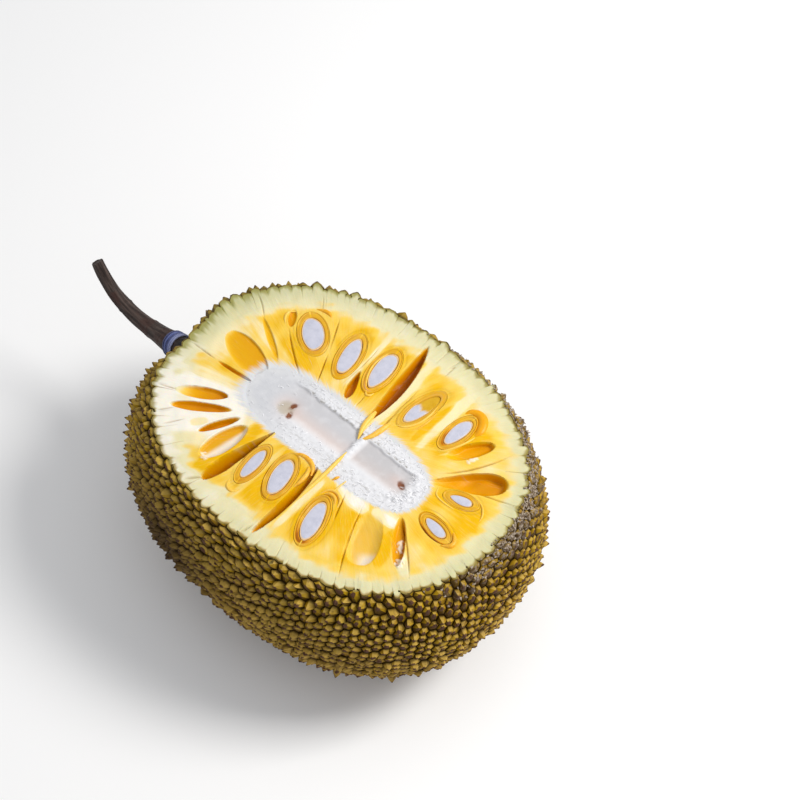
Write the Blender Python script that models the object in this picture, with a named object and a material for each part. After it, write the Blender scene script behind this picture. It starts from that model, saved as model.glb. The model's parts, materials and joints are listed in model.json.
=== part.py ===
"""Half of a jackfruit, cut lengthwise through its middle and resting on its rounded back.

The cut face lies level on top. +X runs along the fruit, from the stalk end to the blossom end, +Y runs
across it and +Z is up. The origin is the centre of the small flat patch on which the fruit rests.
"""

import math

import bmesh
import bpy
from mathutils import Matrix, Vector

# Driving dimensions, in metres
FACE_HEIGHT = 0.148  # cut face above the surface on which the fruit rests
FACE_LENGTH = 0.292  # cut face from stalk end to blossom end
FACE_WIDTH = 0.220
FACE_SQUARENESS = 2.34  # superellipse exponent of the outline, 2 being an ellipse
BODY_DEPTH = 0.150  # round back from the cut face down, before the flat patch is taken off
WIDEST_DEPTH = 0.062  # depth of the widest section under the cut face
SWELL = 1.143  # widest section over the cut face
BELLY_LEAN = Vector((0.0026, -0.0170))  # how far the back's lowest point lies off the face's centre
RIND_WIDTH = 0.017
GAP = 0.0003  # clearance between two pieces that touch

DIMPLE_DEPTH = 0.023  # hollow in the stalk end, where the stalk is set in
DIMPLE_CENTRE = Vector((-0.012, -0.027))  # its y, and its z from the cut face
DIMPLE_RADIUS = Vector((0.019, 0.0215))  # its half width and half height

CORE_SIZE = (0.158, 0.051, 0.027)  # length, width and depth of the white core
CORE_CENTRE = (0.002, -0.005)
CORE_SQUARENESS = 3.2

RING_WALL = 0.0040  # bulb wall at the two sides of a seed
RING_END = 0.0060  # bulb wall at the two ends of a seed
SEED_DEPTH_RATIO = 0.62  # depth of half a seed over its width
BULB_DEPTH_RATIO = 0.60

BODY_SIDES = 48
BODY_RINGS = 9
RING_CROWDING = 0.9  # below 1 the rings crowd towards the flat patch
POCKET_SIDES = 16
POCKET_RINGS = 3
POCKET_SQUARENESS = 2.2
STALK_SIDES = 14
TIE_STEPS = 4

CUTTER_LIFT = 0.004  # how far a cutter stands proud of the cut face
SMOOTH_ANGLE = math.radians(40)  # edges sharper than this stay sharp

# Every seed that the cut meets: x and y on the cut face, length, width, and direction in degrees
SEEDS = (
    (-0.073, 0.052, 0.030, 0.017, 140),
    (-0.039, 0.055, 0.034, 0.013, 106),
    (-0.012, 0.061, 0.035, 0.014, 98),
    (0.032, 0.055, 0.034, 0.011, 80),
    (0.065, 0.057, 0.027, 0.011, 85),
    (0.104, 0.015, 0.017, 0.007, 15),
    (0.105, -0.014, 0.020, 0.008, -10),
    (0.037, -0.066, 0.034, 0.013, 107),
    (-0.005, -0.055, 0.032, 0.014, 105),
    (-0.027, -0.060, 0.028, 0.009, 95),
)

# Every bulb that the cut opens beside its seed, leaving a hollow: x, y, length, width, depth, direction
HOLLOWS = (
    (0.0055, 0.062, 0.070, 0.008, 0.020, 97),
    (0.087, 0.054, 0.034, 0.009, 0.009, 66),
    (0.101, 0.030, 0.050, 0.009, 0.012, 36),
    (0.098, -0.040, 0.042, 0.005, 0.010, -50),
    (0.077, -0.055, 0.036, 0.016, 0.006, -62),
    (0.0135, -0.060, 0.060, 0.004, 0.018, 93),
    (-0.0415, -0.058, 0.050, 0.008, 0.020, 76),
    (-0.057, -0.061, 0.036, 0.009, 0.009, 72),
    (-0.071, -0.054, 0.026, 0.005, 0.010, 56),
    (-0.092, -0.051, 0.036, 0.006, 0.010, 33),
    (-0.099, -0.040, 0.034, 0.008, 0.010, 33),
)

# The stalk's middle line, from its root in the dimple to its cut tip, measured from the face's centre
STALK_PATH = (
    (-0.128, -0.0130, -0.0150),
    (-0.1405, -0.0120, -0.0200),
    (-0.1540, -0.0105, -0.0270),
    (-0.1670, -0.0090, -0.0325),
    (-0.1795, -0.0080, -0.0360),
    (-0.1950, -0.0075, -0.0385),
    (-0.2110, -0.0070, -0.0380),
    (-0.2235, -0.0062, -0.0345),
    (-0.2335, -0.0058, -0.0275),
    (-0.2410, -0.0054, -0.0170),
    (-0.2465, -0.0050, -0.0060),
)
STALK_RADII = (0.0085, 0.0085, 0.0088, 0.0096, 0.0080, 0.0068, 0.0062, 0.0058, 0.0054, 0.0050, 0.0047)
TANGENT_STEP = 0.5  # reach each way over which that line's direction is taken, counted in its points
TIE_SPAN = (1.85, 2.6)  # stretch of the stalk's middle line under the string, counted in its points
TIE_THICKNESS = 0.0022

face_centre = Vector((-BELLY_LEAN.x, -BELLY_LEAN.y, FACE_HEIGHT))


def clear_scene():
    for thing in list(bpy.data.objects):
        bpy.data.objects.remove(thing, do_unlink=True)


def make_material(name, colour, roughness):
    material = bpy.data.materials.new(name)
    material.use_nodes = True
    shader = material.node_tree.nodes["Principled BSDF"]
    shader.inputs["Base Color"].default_value = (*colour, 1.0)
    shader.inputs["Roughness"].default_value = roughness
    shader.inputs["Metallic"].default_value = 0.0
    return material


def make_object(name, bm, material):
    """Turn a bmesh into a named object, smooth except at its sharp edges."""
    bmesh.ops.recalc_face_normals(bm, faces=bm.faces)
    mesh = bpy.data.meshes.new(name)
    bm.to_mesh(mesh)
    bm.free()
    mesh.materials.append(material)
    mesh.shade_smooth()
    mesh.set_sharp_from_angle(angle=SMOOTH_ANGLE)
    thing = bpy.data.objects.new(name, mesh)
    bpy.context.scene.collection.objects.link(thing)
    return thing


def superellipse(angle, squareness):
    """Point at this angle on a superellipse of half axes 1."""
    c = math.cos(angle)
    s = math.sin(angle)
    reach = (abs(c) ** squareness + abs(s) ** squareness) ** (-1.0 / squareness)
    return Vector((reach * c, reach * s))


def swell_at(depth):
    """Size of the section at this depth over the cut face's size."""
    if depth < WIDEST_DEPTH:
        upper = WIDEST_DEPTH / math.sqrt(1.0 - 1.0 / SWELL**2)
        return SWELL * math.sqrt(1.0 - ((WIDEST_DEPTH - depth) / upper) ** 2)
    lower = BODY_DEPTH - WIDEST_DEPTH
    return SWELL * math.sqrt(max(0.0, 1.0 - ((depth - WIDEST_DEPTH) / lower) ** 2))


def body_point(depth, angle, inset):
    """Point on the body's surface, or on the surface nested inset inside it."""
    sunk = depth * (BODY_DEPTH - inset) / BODY_DEPTH
    unit = superellipse(angle, FACE_SQUARENESS)
    x = unit.x * (FACE_LENGTH / 2 - inset) * swell_at(depth) + BELLY_LEAN.x * sunk / FACE_HEIGHT
    y = unit.y * (FACE_WIDTH / 2 - inset) * swell_at(depth) + BELLY_LEAN.y * sunk / FACE_HEIGHT
    if x < 0.0:
        across = (y - DIMPLE_CENTRE.x) / DIMPLE_RADIUS.x
        down = (-sunk - DIMPLE_CENTRE.y) / DIMPLE_RADIUS.y
        x += DIMPLE_DEPTH * math.exp(-(across**2) - down**2)
    return face_centre + Vector((x, y, -sunk))


def body_rings(inset):
    """Rings of the body's surface from the cut face down to the flat patch."""
    rings = []
    for step in range(BODY_RINGS + 1):
        part = step / BODY_RINGS
        depth = FACE_HEIGHT * math.sin(part * math.pi / 2) ** RING_CROWDING
        angles = [2 * math.pi * side / BODY_SIDES for side in range(BODY_SIDES)]
        rings.append([body_point(depth, angle, inset) for angle in angles])
    return rings


def add_rings(bm, rings):
    """Skin a row of rings and return their vertices."""
    rows = [[bm.verts.new(point) for point in ring] for ring in rings]
    for upper, lower in zip(rows, rows[1:]):
        bridge(bm, upper, lower)
    return rows


def bridge(bm, first, second):
    """Join two rings with triangles, so that nested surfaces fold along the same diagonals."""
    count = len(first)
    for i in range(count):
        j = (i + 1) % count
        bm.faces.new((first[i], second[i], second[j]))
        bm.faces.new((first[i], second[j], first[j]))


def add_bowl(bm, rings, pole):
    """Skin a row of rings and close its small end with a fan."""
    rows = add_rings(bm, rings)
    tip = bm.verts.new(pole)
    last = rows[-1]
    for i in range(len(last)):
        bm.faces.new((last[i], tip, last[(i + 1) % len(last)]))
    return rows[0]


def round_back(inset):
    """Rings and pole of a surface nested inside the body, round to its lowest point."""
    rings = body_rings(inset)
    pole = body_point(BODY_DEPTH, 0.0, inset)
    return rings, pole


def solid_half(inset, lift=0.0):
    """Closed half fruit nested inset inside the body, its top raised by lift."""
    bm = bmesh.new()
    rings, pole = round_back(inset)
    if lift > 0.0:
        rings.insert(0, [point + Vector((0, 0, lift)) for point in rings[0]])
    rim = add_bowl(bm, rings, pole)
    bm.faces.new(rim)
    return bm


def egg_rings(x, y, length, width, depth, direction, grow=0.0, squareness=POCKET_SQUARENESS):
    """Rings and pole of half an egg, sunk in the cut face with its widest section at the face."""
    turn = Matrix.Rotation(math.radians(direction), 3, "Z")
    centre = face_centre + Vector((x, y, 0))
    rings = []
    for step in range(POCKET_RINGS):
        fall = step / POCKET_RINGS * math.pi / 2
        ring = []
        for side in range(POCKET_SIDES):
            unit = superellipse(2 * math.pi * side / POCKET_SIDES, squareness)
            flat = Vector((unit.x * (length / 2 + grow), unit.y * (width / 2 + grow), 0)) * math.cos(fall)
            ring.append(centre + turn @ flat + Vector((0, 0, -(depth + grow) * math.sin(fall))))
        rings.append(ring)
    return rings, centre + Vector((0, 0, -depth - grow))


def half_egg(*sizes, lift=0.0, **options):
    """Closed half egg, with its top raised by lift where it serves as a cutter."""
    bm = bmesh.new()
    rings, pole = egg_rings(*sizes, **options)
    if lift > 0.0:
        rings.insert(0, [point + Vector((0, 0, lift)) for point in rings[0]])
    rim = add_bowl(bm, rings, pole)
    bm.faces.new(rim)
    return bm


def cut_away(target, cutter_bm, name):
    """Take a shape out of an object with a hidden cutter."""
    cutter = make_object(name, cutter_bm, target.data.materials[0])
    cutter.hide_render = True
    cutter.display_type = "WIRE"
    cut = target.modifiers.new(name, "BOOLEAN")
    cut.operation = "DIFFERENCE"
    cut.solver = "EXACT"
    cut.object = cutter


def bulb_sizes(seed):
    """Outer size of the bulb that wraps a seed."""
    x, y, length, width, direction = seed
    outer_width = width + 2 * RING_WALL
    return x, y, length + 2 * RING_END, outer_width, outer_width * BULB_DEPTH_RATIO, direction


def seed_sizes(seed):
    x, y, length, width, direction = seed
    return x, y, length, width, width * SEED_DEPTH_RATIO, direction


def make_rind():
    """Bowl of spiny skin and pale rind, flat where it rests."""
    bm = bmesh.new()
    outer = add_rings(bm, body_rings(0.0))
    bm.faces.new(outer[-1])
    inner_rim = add_bowl(bm, *round_back(RIND_WIDTH))
    bridge(bm, outer[0], inner_rim)
    return make_object("rind", bm, make_material("rind", (0.33, 0.30, 0.09), 0.7))


def make_flesh():
    """Bed of fused yellow bulbs, open where the core, the seeded bulbs and the hollows lie."""
    material = make_material("flesh", (0.92, 0.60, 0.07), 0.5)
    flesh = make_object("flesh", solid_half(RIND_WIDTH + GAP), material)
    core_sizes = (*CORE_CENTRE, *CORE_SIZE, 0)
    core_cutter = half_egg(*core_sizes, grow=GAP, squareness=CORE_SQUARENESS, lift=CUTTER_LIFT)
    cut_away(flesh, core_cutter, "cut_core")
    for number, seed in enumerate(SEEDS, 1):
        cut_away(flesh, half_egg(*bulb_sizes(seed), grow=GAP, lift=CUTTER_LIFT), f"cut_bulb_{number:02d}")
    for number, hollow in enumerate(HOLLOWS, 1):
        cut_away(flesh, half_egg(*hollow, lift=CUTTER_LIFT), f"cut_hollow_{number:02d}")
    return flesh


def make_core():
    bm = half_egg(*CORE_CENTRE, *CORE_SIZE, 0, squareness=CORE_SQUARENESS)
    return make_object("core", bm, make_material("core", (0.86, 0.85, 0.80), 0.8))


def make_bulb(number, seed, material):
    """Cup of yellow flesh round one seed, cut open with it."""
    bm = bmesh.new()
    outer_rim = add_bowl(bm, *egg_rings(*bulb_sizes(seed)))
    inner_rim = add_bowl(bm, *egg_rings(*seed_sizes(seed), grow=GAP))
    bridge(bm, outer_rim, inner_rim)
    return make_object(f"bulb_{number:02d}", bm, material)


def make_seed(number, seed, material):
    return make_object(f"seed_{number:02d}", half_egg(*seed_sizes(seed)), material)


def along_stalk(place, values):
    """Value of a row of vectors or radii at a place counted in its points."""
    low = min(int(place), len(values) - 2)
    part = place - low
    return values[low] * (1 - part) + values[low + 1] * part


def stalk_ring(place, extra):
    """Ring round the stalk's middle line, extra wider than the stalk."""
    points = [face_centre + Vector(point) for point in STALK_PATH]
    before = along_stalk(max(place - TANGENT_STEP, 0), points)
    after = along_stalk(min(place + TANGENT_STEP, len(points) - 1), points)
    forward = (after - before).normalized()
    side = forward.cross(Vector((0, 0, 1))).normalized()
    up = side.cross(forward)
    middle = along_stalk(place, points)
    radius = along_stalk(place, STALK_RADII) + extra
    ring = []
    for corner in range(STALK_SIDES):
        angle = 2 * math.pi * corner / STALK_SIDES
        ring.append(middle + radius * (math.cos(angle) * side + math.sin(angle) * up))
    return ring


def make_stalk():
    """Woody stalk with a knee at its root, cut to fit the bottom of the dimple."""
    bm = bmesh.new()
    last = len(STALK_PATH) - 1
    places = [half_step / 2 for half_step in range(2 * last + 1)]
    rows = add_rings(bm, [stalk_ring(place, 0.0) for place in places])
    bm.faces.new(rows[0])
    bm.faces.new(rows[-1])
    stalk = make_object("stalk", bm, make_material("stalk", (0.08, 0.055, 0.045), 0.8))
    cut_away(stalk, solid_half(-2 * GAP, lift=CUTTER_LIFT), "cut_stalk_root")
    return stalk


def make_tie():
    """Short sleeve of wound blue string round the stalk's neck."""
    bm = bmesh.new()
    start, end = TIE_SPAN
    places = [start + (end - start) * step / TIE_STEPS for step in range(TIE_STEPS + 1)]
    outer = add_rings(bm, [stalk_ring(place, GAP + TIE_THICKNESS) for place in places])
    inner = add_rings(bm, [stalk_ring(place, GAP) for place in places])
    bridge(bm, outer[0], inner[0])
    bridge(bm, outer[-1], inner[-1])
    return make_object("tie", bm, make_material("tie", (0.06, 0.09, 0.35), 0.6))


def main():
    clear_scene()
    make_rind()
    make_flesh()
    make_core()
    bulb_material = make_material("bulb", (0.90, 0.52, 0.05), 0.45)
    seed_material = make_material("seed", (0.75, 0.75, 0.82), 0.4)
    for number, seed in enumerate(SEEDS, 1):
        make_bulb(number, seed, bulb_material)
        make_seed(number, seed, seed_material)
    make_stalk()
    make_tie()


main()
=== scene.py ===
# %% [markdown]
# # A cut jackfruit half
# The fruit lies on its spiny back with its cut face level on top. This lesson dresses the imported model
# piece by piece: the spiny skin, the pale rind, the yellow flesh with its opened bulbs, the white core, the
# seeds in their bulbs, the stalk and the string. Every place is read from the frame or counted from the
# middle of the cut face.

# %% Load the frame
import math

import bmesh
import bpy
import numpy as np
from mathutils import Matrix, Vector, kdtree
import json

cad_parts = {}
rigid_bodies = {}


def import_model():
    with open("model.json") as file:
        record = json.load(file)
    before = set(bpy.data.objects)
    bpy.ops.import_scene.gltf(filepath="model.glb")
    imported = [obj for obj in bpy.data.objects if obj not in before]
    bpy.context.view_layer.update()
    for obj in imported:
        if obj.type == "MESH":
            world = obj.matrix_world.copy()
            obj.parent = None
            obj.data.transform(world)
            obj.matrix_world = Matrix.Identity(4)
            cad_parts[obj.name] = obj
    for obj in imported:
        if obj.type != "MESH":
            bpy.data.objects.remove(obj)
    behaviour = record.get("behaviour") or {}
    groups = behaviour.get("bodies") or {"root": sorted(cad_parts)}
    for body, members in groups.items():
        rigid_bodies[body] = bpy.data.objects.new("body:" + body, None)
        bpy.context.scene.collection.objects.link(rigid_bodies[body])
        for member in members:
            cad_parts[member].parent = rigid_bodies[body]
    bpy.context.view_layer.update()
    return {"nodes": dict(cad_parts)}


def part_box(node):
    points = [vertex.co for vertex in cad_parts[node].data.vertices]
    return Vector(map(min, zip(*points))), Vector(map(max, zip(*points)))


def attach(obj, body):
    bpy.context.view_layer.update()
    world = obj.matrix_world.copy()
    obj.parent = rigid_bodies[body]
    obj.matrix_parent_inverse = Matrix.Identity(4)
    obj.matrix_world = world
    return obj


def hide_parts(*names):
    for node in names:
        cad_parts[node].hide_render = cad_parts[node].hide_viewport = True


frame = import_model()
MM = 0.001
print("nodes in the frame:", len(frame["nodes"]))

# %% [markdown]
# ## Where the fruit is
# The core's solid tells where the middle of the cut face is. The body is a swollen superellipse: it is
# widest a little under the cut and closes in a round back. The same rule shaped the CAD rind, so a point is
# found from two angles, one round the fruit and one down its side, and a surface nested inside the skin is
# the same rule again.

# %% The shape of the body
core_low, core_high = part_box("core")
rind_low, rind_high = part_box("rind")
# The core's middle lies this far off the middle of the face, and the back would reach REST_FLAT under the
# floor if it weren't flat there.
CORE_MIDDLE = (0.002, -0.005)
REST_FLAT = 0.002
FACE = np.array([
    (core_low.x + core_high.x) / 2 - CORE_MIDDLE[0],
    (core_low.y + core_high.y) / 2 - CORE_MIDDLE[1],
    core_high.z,
])
SWELL = 1.143
SQUARENESS = 2.34
WIDEST_DEPTH = 0.062
BODY_DEPTH = FACE[2] + REST_FLAT
UPPER = WIDEST_DEPTH / math.sqrt(1 - 1 / SWELL**2)
LOWER = BODY_DEPTH - WIDEST_DEPTH
LEAN = np.array([-FACE[0], -FACE[1]]) / FACE[2]
HALF_LENGTH = (rind_high.x - FACE[0] - LEAN[0] * WIDEST_DEPTH) / SWELL
HALF_WIDTH = (rind_high.y - rind_low.y) / 2 / SWELL
DIMPLE = {"depth": 0.023, "y": -0.012, "z": -0.027, "half_width": 0.019, "half_height": 0.0215}


def body_surface(down, around, inset=0.0, dimple=True):
    """Points on the body, from the angles down its side and around it, or on a surface nested inside it."""
    down, around = np.broadcast_arrays(np.asarray(down, float), np.asarray(around, float))
    depth = WIDEST_DEPTH + np.where(down > 0, LOWER, UPPER) * np.sin(down)
    depth = depth * (BODY_DEPTH - inset) / BODY_DEPTH
    c, s = np.cos(around), np.sin(around)
    reach = (np.abs(c) ** SQUARENESS + np.abs(s) ** SQUARENESS) ** (-1 / SQUARENESS) * SWELL * np.cos(down)
    x = (HALF_LENGTH - inset) * reach * c + LEAN[0] * depth
    y = (HALF_WIDTH - inset) * reach * s + LEAN[1] * depth
    if dimple:
        sideways = (y - DIMPLE["y"]) / DIMPLE["half_width"]
        upwards = (-depth - DIMPLE["z"]) / DIMPLE["half_height"]
        x = x + np.where(c < 0, DIMPLE["depth"] * np.exp(-(sideways**2 + upwards**2)), 0)
    return np.stack([x, y, -depth], -1) + FACE


def body_angles(points):
    """The two angles of the nearest place on the body without its dimple."""
    rel = points - FACE
    depth = -rel[:, 2]
    px = (rel[:, 0] - LEAN[0] * depth) / HALF_LENGTH / SWELL
    py = (rel[:, 1] - LEAN[1] * depth) / HALF_WIDTH / SWELL
    reach = (np.abs(px) ** SQUARENESS + np.abs(py) ** SQUARENESS) ** (1 / SQUARENESS)
    sink = depth - WIDEST_DEPTH
    sink = sink / np.where(sink > 0, LOWER, UPPER)
    return np.arctan2(sink, reach), np.arctan2(py, px)


CUT_DOWN = -math.asin(WIDEST_DEPTH / UPPER)
print("cut face %.0f x %.0f mm, %.0f mm up" % (2000 * HALF_LENGTH, 2000 * HALF_WIDTH, 1000 * FACE[2]))

# %% [markdown]
# ## Camera, light and floor
# The camera stands in front and to the right, looking down on the cut face. A large soft lamp high on the far
# right draws the shadows into the hollows, and a pale sky fills them.

# %% Camera
def add_camera(azimuth, elevation, distance, aim):
    """Camera on a sphere round the cut face, aimed at a point beside its middle."""
    a, e = math.radians(azimuth), math.radians(elevation)
    direction = Vector((math.sin(a) * math.cos(e), -math.cos(a) * math.cos(e), math.sin(e)))
    where = Vector(FACE) + distance * direction
    data = bpy.data.cameras.new("camera")
    data.lens = 90
    camera = bpy.data.objects.new("camera", data)
    camera.location = where
    camera.rotation_euler = (Vector(FACE) + Vector(aim) - where).to_track_quat("-Z", "Y").to_euler()
    bpy.context.scene.collection.objects.link(camera)
    bpy.context.scene.camera = camera
    return camera


camera = add_camera(azimuth=44.8, elevation=56.8, distance=1.442, aim=(0.0207, 0.0439, 0.0129))
print("camera", [round(v, 3) for v in camera.location])


# %% Light and floor
def add_lamp(name, direction, distance, size, power, colour):
    """Square soft lamp that looks at the fruit from a direction."""
    data = bpy.data.lights.new(name, "AREA")
    data.size = size
    data.energy = power
    data.color = colour
    lamp = bpy.data.objects.new(name, data)
    lamp.location = Vector(FACE) + Vector(direction).normalized() * distance
    lamp.rotation_euler = (Vector(FACE) - lamp.location).to_track_quat("-Z", "Y").to_euler()
    bpy.context.scene.collection.objects.link(lamp)
    return lamp


def add_floor(size, colour):
    """Pale floor under the fruit."""
    bpy.ops.mesh.primitive_plane_add(size=size, location=(0, 0, 0))
    floor = bpy.context.object
    floor.name = "floor"
    material = bpy.data.materials.new("floor")
    material.use_nodes = True
    shader = material.node_tree.nodes["Principled BSDF"]
    shader.inputs["Base Color"].default_value = (*colour, 1)
    shader.inputs["Roughness"].default_value = 0.9
    shader.inputs["Specular IOR Level"].default_value = 0.1
    floor.data.materials.append(material)
    return floor


add_lamp("key", (0.62, 0.58, 0.90), 1.6, 0.55, 21, (1.0, 0.98, 0.95))
add_floor(12, (0.95, 0.95, 0.95))
world = bpy.data.worlds.new("sky")
world.use_nodes = True
world.node_tree.nodes["Background"].inputs["Color"].default_value = (0.97, 0.98, 1.0, 1)
world.node_tree.nodes["Background"].inputs["Strength"].default_value = 0.62
bpy.context.scene.world = world
bpy.context.scene.view_settings.view_transform = "Standard"
print("stage set")

# %% [markdown]
# ## Helpers
# `node` puts a node into any tree and feeds its sockets. `make_mesh` turns points and faces into a mesh
# with its masks stored on the points, and `finish_piece` puts it into the scene as a piece of the fruit.
# `grow` runs a Geometry Nodes tree on a mesh and keeps the plain result, because a live modifier isn't
# handed on. Most pieces are rings of points, one after another, and `stack_rings` closes such a stack.

# %% Helpers
def node(tree, kind, feeds=None, **settings):
    """Adds a node to a tree. Feeds are values or sockets for its inputs, by name or number."""
    new = tree.nodes.new(kind)
    for key, value in settings.items():
        setattr(new, key, value)
    for key, value in (feeds or {}).items():
        if isinstance(value, bpy.types.NodeSocket):
            tree.links.new(value, new.inputs[key])
        else:
            new.inputs[key].default_value = value
    return new


def set_mask(mesh, name, values, kind="FLOAT", domain="POINT"):
    """Stores one number or vector for each point or face, for a material to read."""
    layer = mesh.attributes.new(name, kind, domain)
    field = "value" if kind == "FLOAT" else "vector"
    layer.data.foreach_set(field, np.asarray(values, np.float32).ravel())


def finish_piece(mesh, name, nodes, smooth=True, crease=65):
    """Puts a finished mesh into the scene as a piece, with edges over the crease angle kept sharp."""
    mesh.name = name
    piece = bpy.data.objects.new(name, mesh)
    bpy.context.scene.collection.objects.link(piece)
    mesh.polygons.foreach_set("use_smooth", [smooth] * len(mesh.polygons))
    if smooth:
        mesh.set_sharp_from_angle(angle=math.radians(crease))
    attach(piece, "root")
    if nodes:
        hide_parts(*nodes)
    print("%s: %d triangles" % (name, sum(len(p.vertices) - 2 for p in mesh.polygons)))
    return piece


def make_mesh(points, faces, material, masks):
    """Mesh from arrays, with one material and its masks."""
    mesh = bpy.data.meshes.new("piece")
    mesh.from_pydata(np.asarray(points).tolist(), [], [tuple(f) for f in faces])
    mesh.materials.append(material)
    for key, values in masks.items():
        set_mask(mesh, key, values, "FLOAT_VECTOR" if np.ndim(values) > 1 else "FLOAT")
    return mesh


def grow(mesh, tree, values):
    """Runs a Geometry Nodes tree on a mesh and returns the result as a plain mesh."""
    source = bpy.data.objects.new("seedling", mesh)
    bpy.context.scene.collection.objects.link(source)
    modifier = source.modifiers.new("grow", "NODES")
    modifier.node_group = tree
    for item in tree.interface.items_tree:
        if item.item_type == "SOCKET" and item.in_out == "INPUT" and item.name in values:
            modifier[item.identifier] = values[item.name]
    ready = source.evaluated_get(bpy.context.evaluated_depsgraph_get())
    grown = bpy.data.meshes.new_from_object(ready)
    bpy.data.objects.remove(source)
    return grown


def geometry_tree(name, inputs):
    """Empty Geometry Nodes tree with a mesh going in and out and named inputs."""
    tree = bpy.data.node_groups.new(name, "GeometryNodeTree")
    tree.interface.new_socket("Mesh", in_out="INPUT", socket_type="NodeSocketGeometry")
    for title, kind in inputs.items():
        tree.interface.new_socket(title, in_out="INPUT", socket_type="NodeSocket" + kind)
    tree.interface.new_socket("Mesh", in_out="OUTPUT", socket_type="NodeSocketGeometry")
    return tree, tree.nodes.new("NodeGroupInput").outputs, tree.nodes.new("NodeGroupOutput").inputs


def calc(tree, operation, *numbers):
    """One sum on numbers or sockets."""
    return node(tree, "ShaderNodeMath", dict(enumerate(numbers)), operation=operation).outputs[0]


def vector_sum(tree, operation, feeds):
    """One sum on vectors."""
    return node(tree, "ShaderNodeVectorMath", feeds, operation=operation).outputs[0]


def stored(tree, name, kind="FLOAT"):
    """Values stored on a mesh, read inside a Geometry Nodes tree."""
    return node(tree, "GeometryNodeInputNamedAttribute", {"Name": name}, data_type=kind).outputs[0]


def rings_to_faces(rings, columns):
    """Quads between rings of the same number of points, all the way round."""
    ring = np.arange(rings - 1)[:, None] * columns
    here = np.arange(columns)[None]
    after = (here + 1) % columns
    quads = np.stack([ring + here, ring + after, ring + columns + after, ring + columns + here], -1)
    return quads.reshape(-1, 4)


def level_ring(flat, height):
    """A ring of flat places at one height."""
    return np.concatenate([flat, np.full((len(flat), 1), height)], -1)


def stack_rings(rings, close_last=True):
    """Points and faces of a closed shape from rings of points in order, with a middle point at its ends."""
    rings = np.asarray(rings)
    count, columns = rings.shape[:2]
    faces = [tuple(f) for f in rings_to_faces(count, columns)]
    points = np.concatenate([rings.reshape(-1, 3), [rings[0].mean(0)]])
    faces += [(len(points) - 1, (i + 1) % columns, i) for i in range(columns)]
    if close_last:
        points = np.concatenate([points, [rings[-1].mean(0)]])
        last = (count - 1) * columns
        faces += [(len(points) - 1, last + i, last + (i + 1) % columns) for i in range(columns)]
    return points, faces


def carry_masks(masks, shape, before, after, flip=False, ends=2):
    """Masks of a cut face, carried on to the hidden rings before and after it and to the middle points."""
    whole = {}
    for key, values in masks.items():
        values = np.asarray(values, float)
        values = values * np.ones(shape + values.shape[2:])
        rows = np.concatenate([np.repeat(values[:1], before, 0), values, np.repeat(values[-1:], after, 0)])
        rows = (rows[::-1] if flip else rows).reshape(-1, *values.shape[2:])
        whole[key] = np.concatenate([rows, rows[:1], rows[-1:]][: 1 + ends])
    return whole


print("helpers ready")

# %% [markdown]
# ## The spiny skin
# A jackfruit's skin is a net of five and six sided cells, each drawn out to a short angular spine with a
# dark tip. The cells are too many to place by hand. A golden-angle spiral spreads points evenly over a
# round body, so it sets them out here, and a few rounds of pushing neighbours apart even out what chance
# has moved.

# %% Where the spines stand
SPACING_DEPTHS = (0.0, 0.030, 0.070, 0.115, 0.148)
SPACINGS = (0.0086, 0.0073, 0.0062, 0.0063, 0.0082)
JITTER = 0.13
GOLDEN = (math.sqrt(5) - 1) / 2
HEXAGON = math.sqrt(3) / 2


def spine_spacing(depth):
    """Distance between neighbouring spines at a depth under the cut."""
    return np.interp(depth, SPACING_DEPTHS, SPACINGS)


def golden_points():
    """Points all over the body in a golden-angle spiral, closer together where the spines are smaller."""
    down = np.linspace(-1.45, math.pi / 2, 260)
    around = np.linspace(-math.pi, math.pi, 361)
    grid = body_surface(down[:, None], around[None], dimple=False)
    area = np.linalg.norm(np.cross(np.diff(grid, axis=1)[:-1], np.diff(grid, axis=0)[:, :-1]), axis=2)
    depth = FACE[2] - grid[:-1, :-1, 2]
    cells = area / (HEXAGON * spine_spacing(depth) ** 2)
    rows = np.concatenate([[0], np.cumsum(cells.sum(1))])
    order = np.arange(int(rows[-1])) + 0.5
    row = np.searchsorted(rows, order) - 1
    turns = np.concatenate([np.zeros((len(cells), 1)), np.cumsum(cells, axis=1)], axis=1)
    turns = turns / turns[:, -1:]
    turned = [np.interp(i * GOLDEN % 1, turns[r], around) for i, r in zip(order, row)]
    points = body_surface(np.interp(order, rows, down), np.array(turned), dimple=False)
    shift = np.random.default_rng(3).normal(0, JITTER, points.shape)
    return points + shift * spine_spacing(FACE[2] - points[:, 2])[:, None]


def spread(points, rounds, neighbours=8, firmness=0.3):
    """Pushes points that stand too close apart, and back onto the body."""
    for _ in range(rounds):
        tree = kdtree.KDTree(len(points))
        for i, p in enumerate(points):
            tree.insert(p, i)
        tree.balance()
        near = np.array([[hit[1] for hit in tree.find_n(p, neighbours + 1)[1:]] for p in points])
        away = points[:, None] - points[near]
        gap = np.linalg.norm(away, axis=2, keepdims=True)
        want = spine_spacing(FACE[2] - points[:, 2])[:, None, None]
        push = away / gap * np.clip(want - gap, 0, None)
        points = body_surface(*body_angles(points + firmness * push.sum(1)), dimple=False)
    return points


spots = spread(golden_points(), rounds=4)
print("spines on the whole body:", len(spots))

# %% [markdown]
# The net between the spots is the hull of all of them, since the body bulges everywhere. It is then sunk
# under the skin by most of a spine's height and pushed in at the dimple.

# %% The net under the spines
NET_DEPTHS = (0.0, 0.024)
NET_INSETS = (0.0020, 0.0036)
RIM_ABOVE = 0.020


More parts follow.
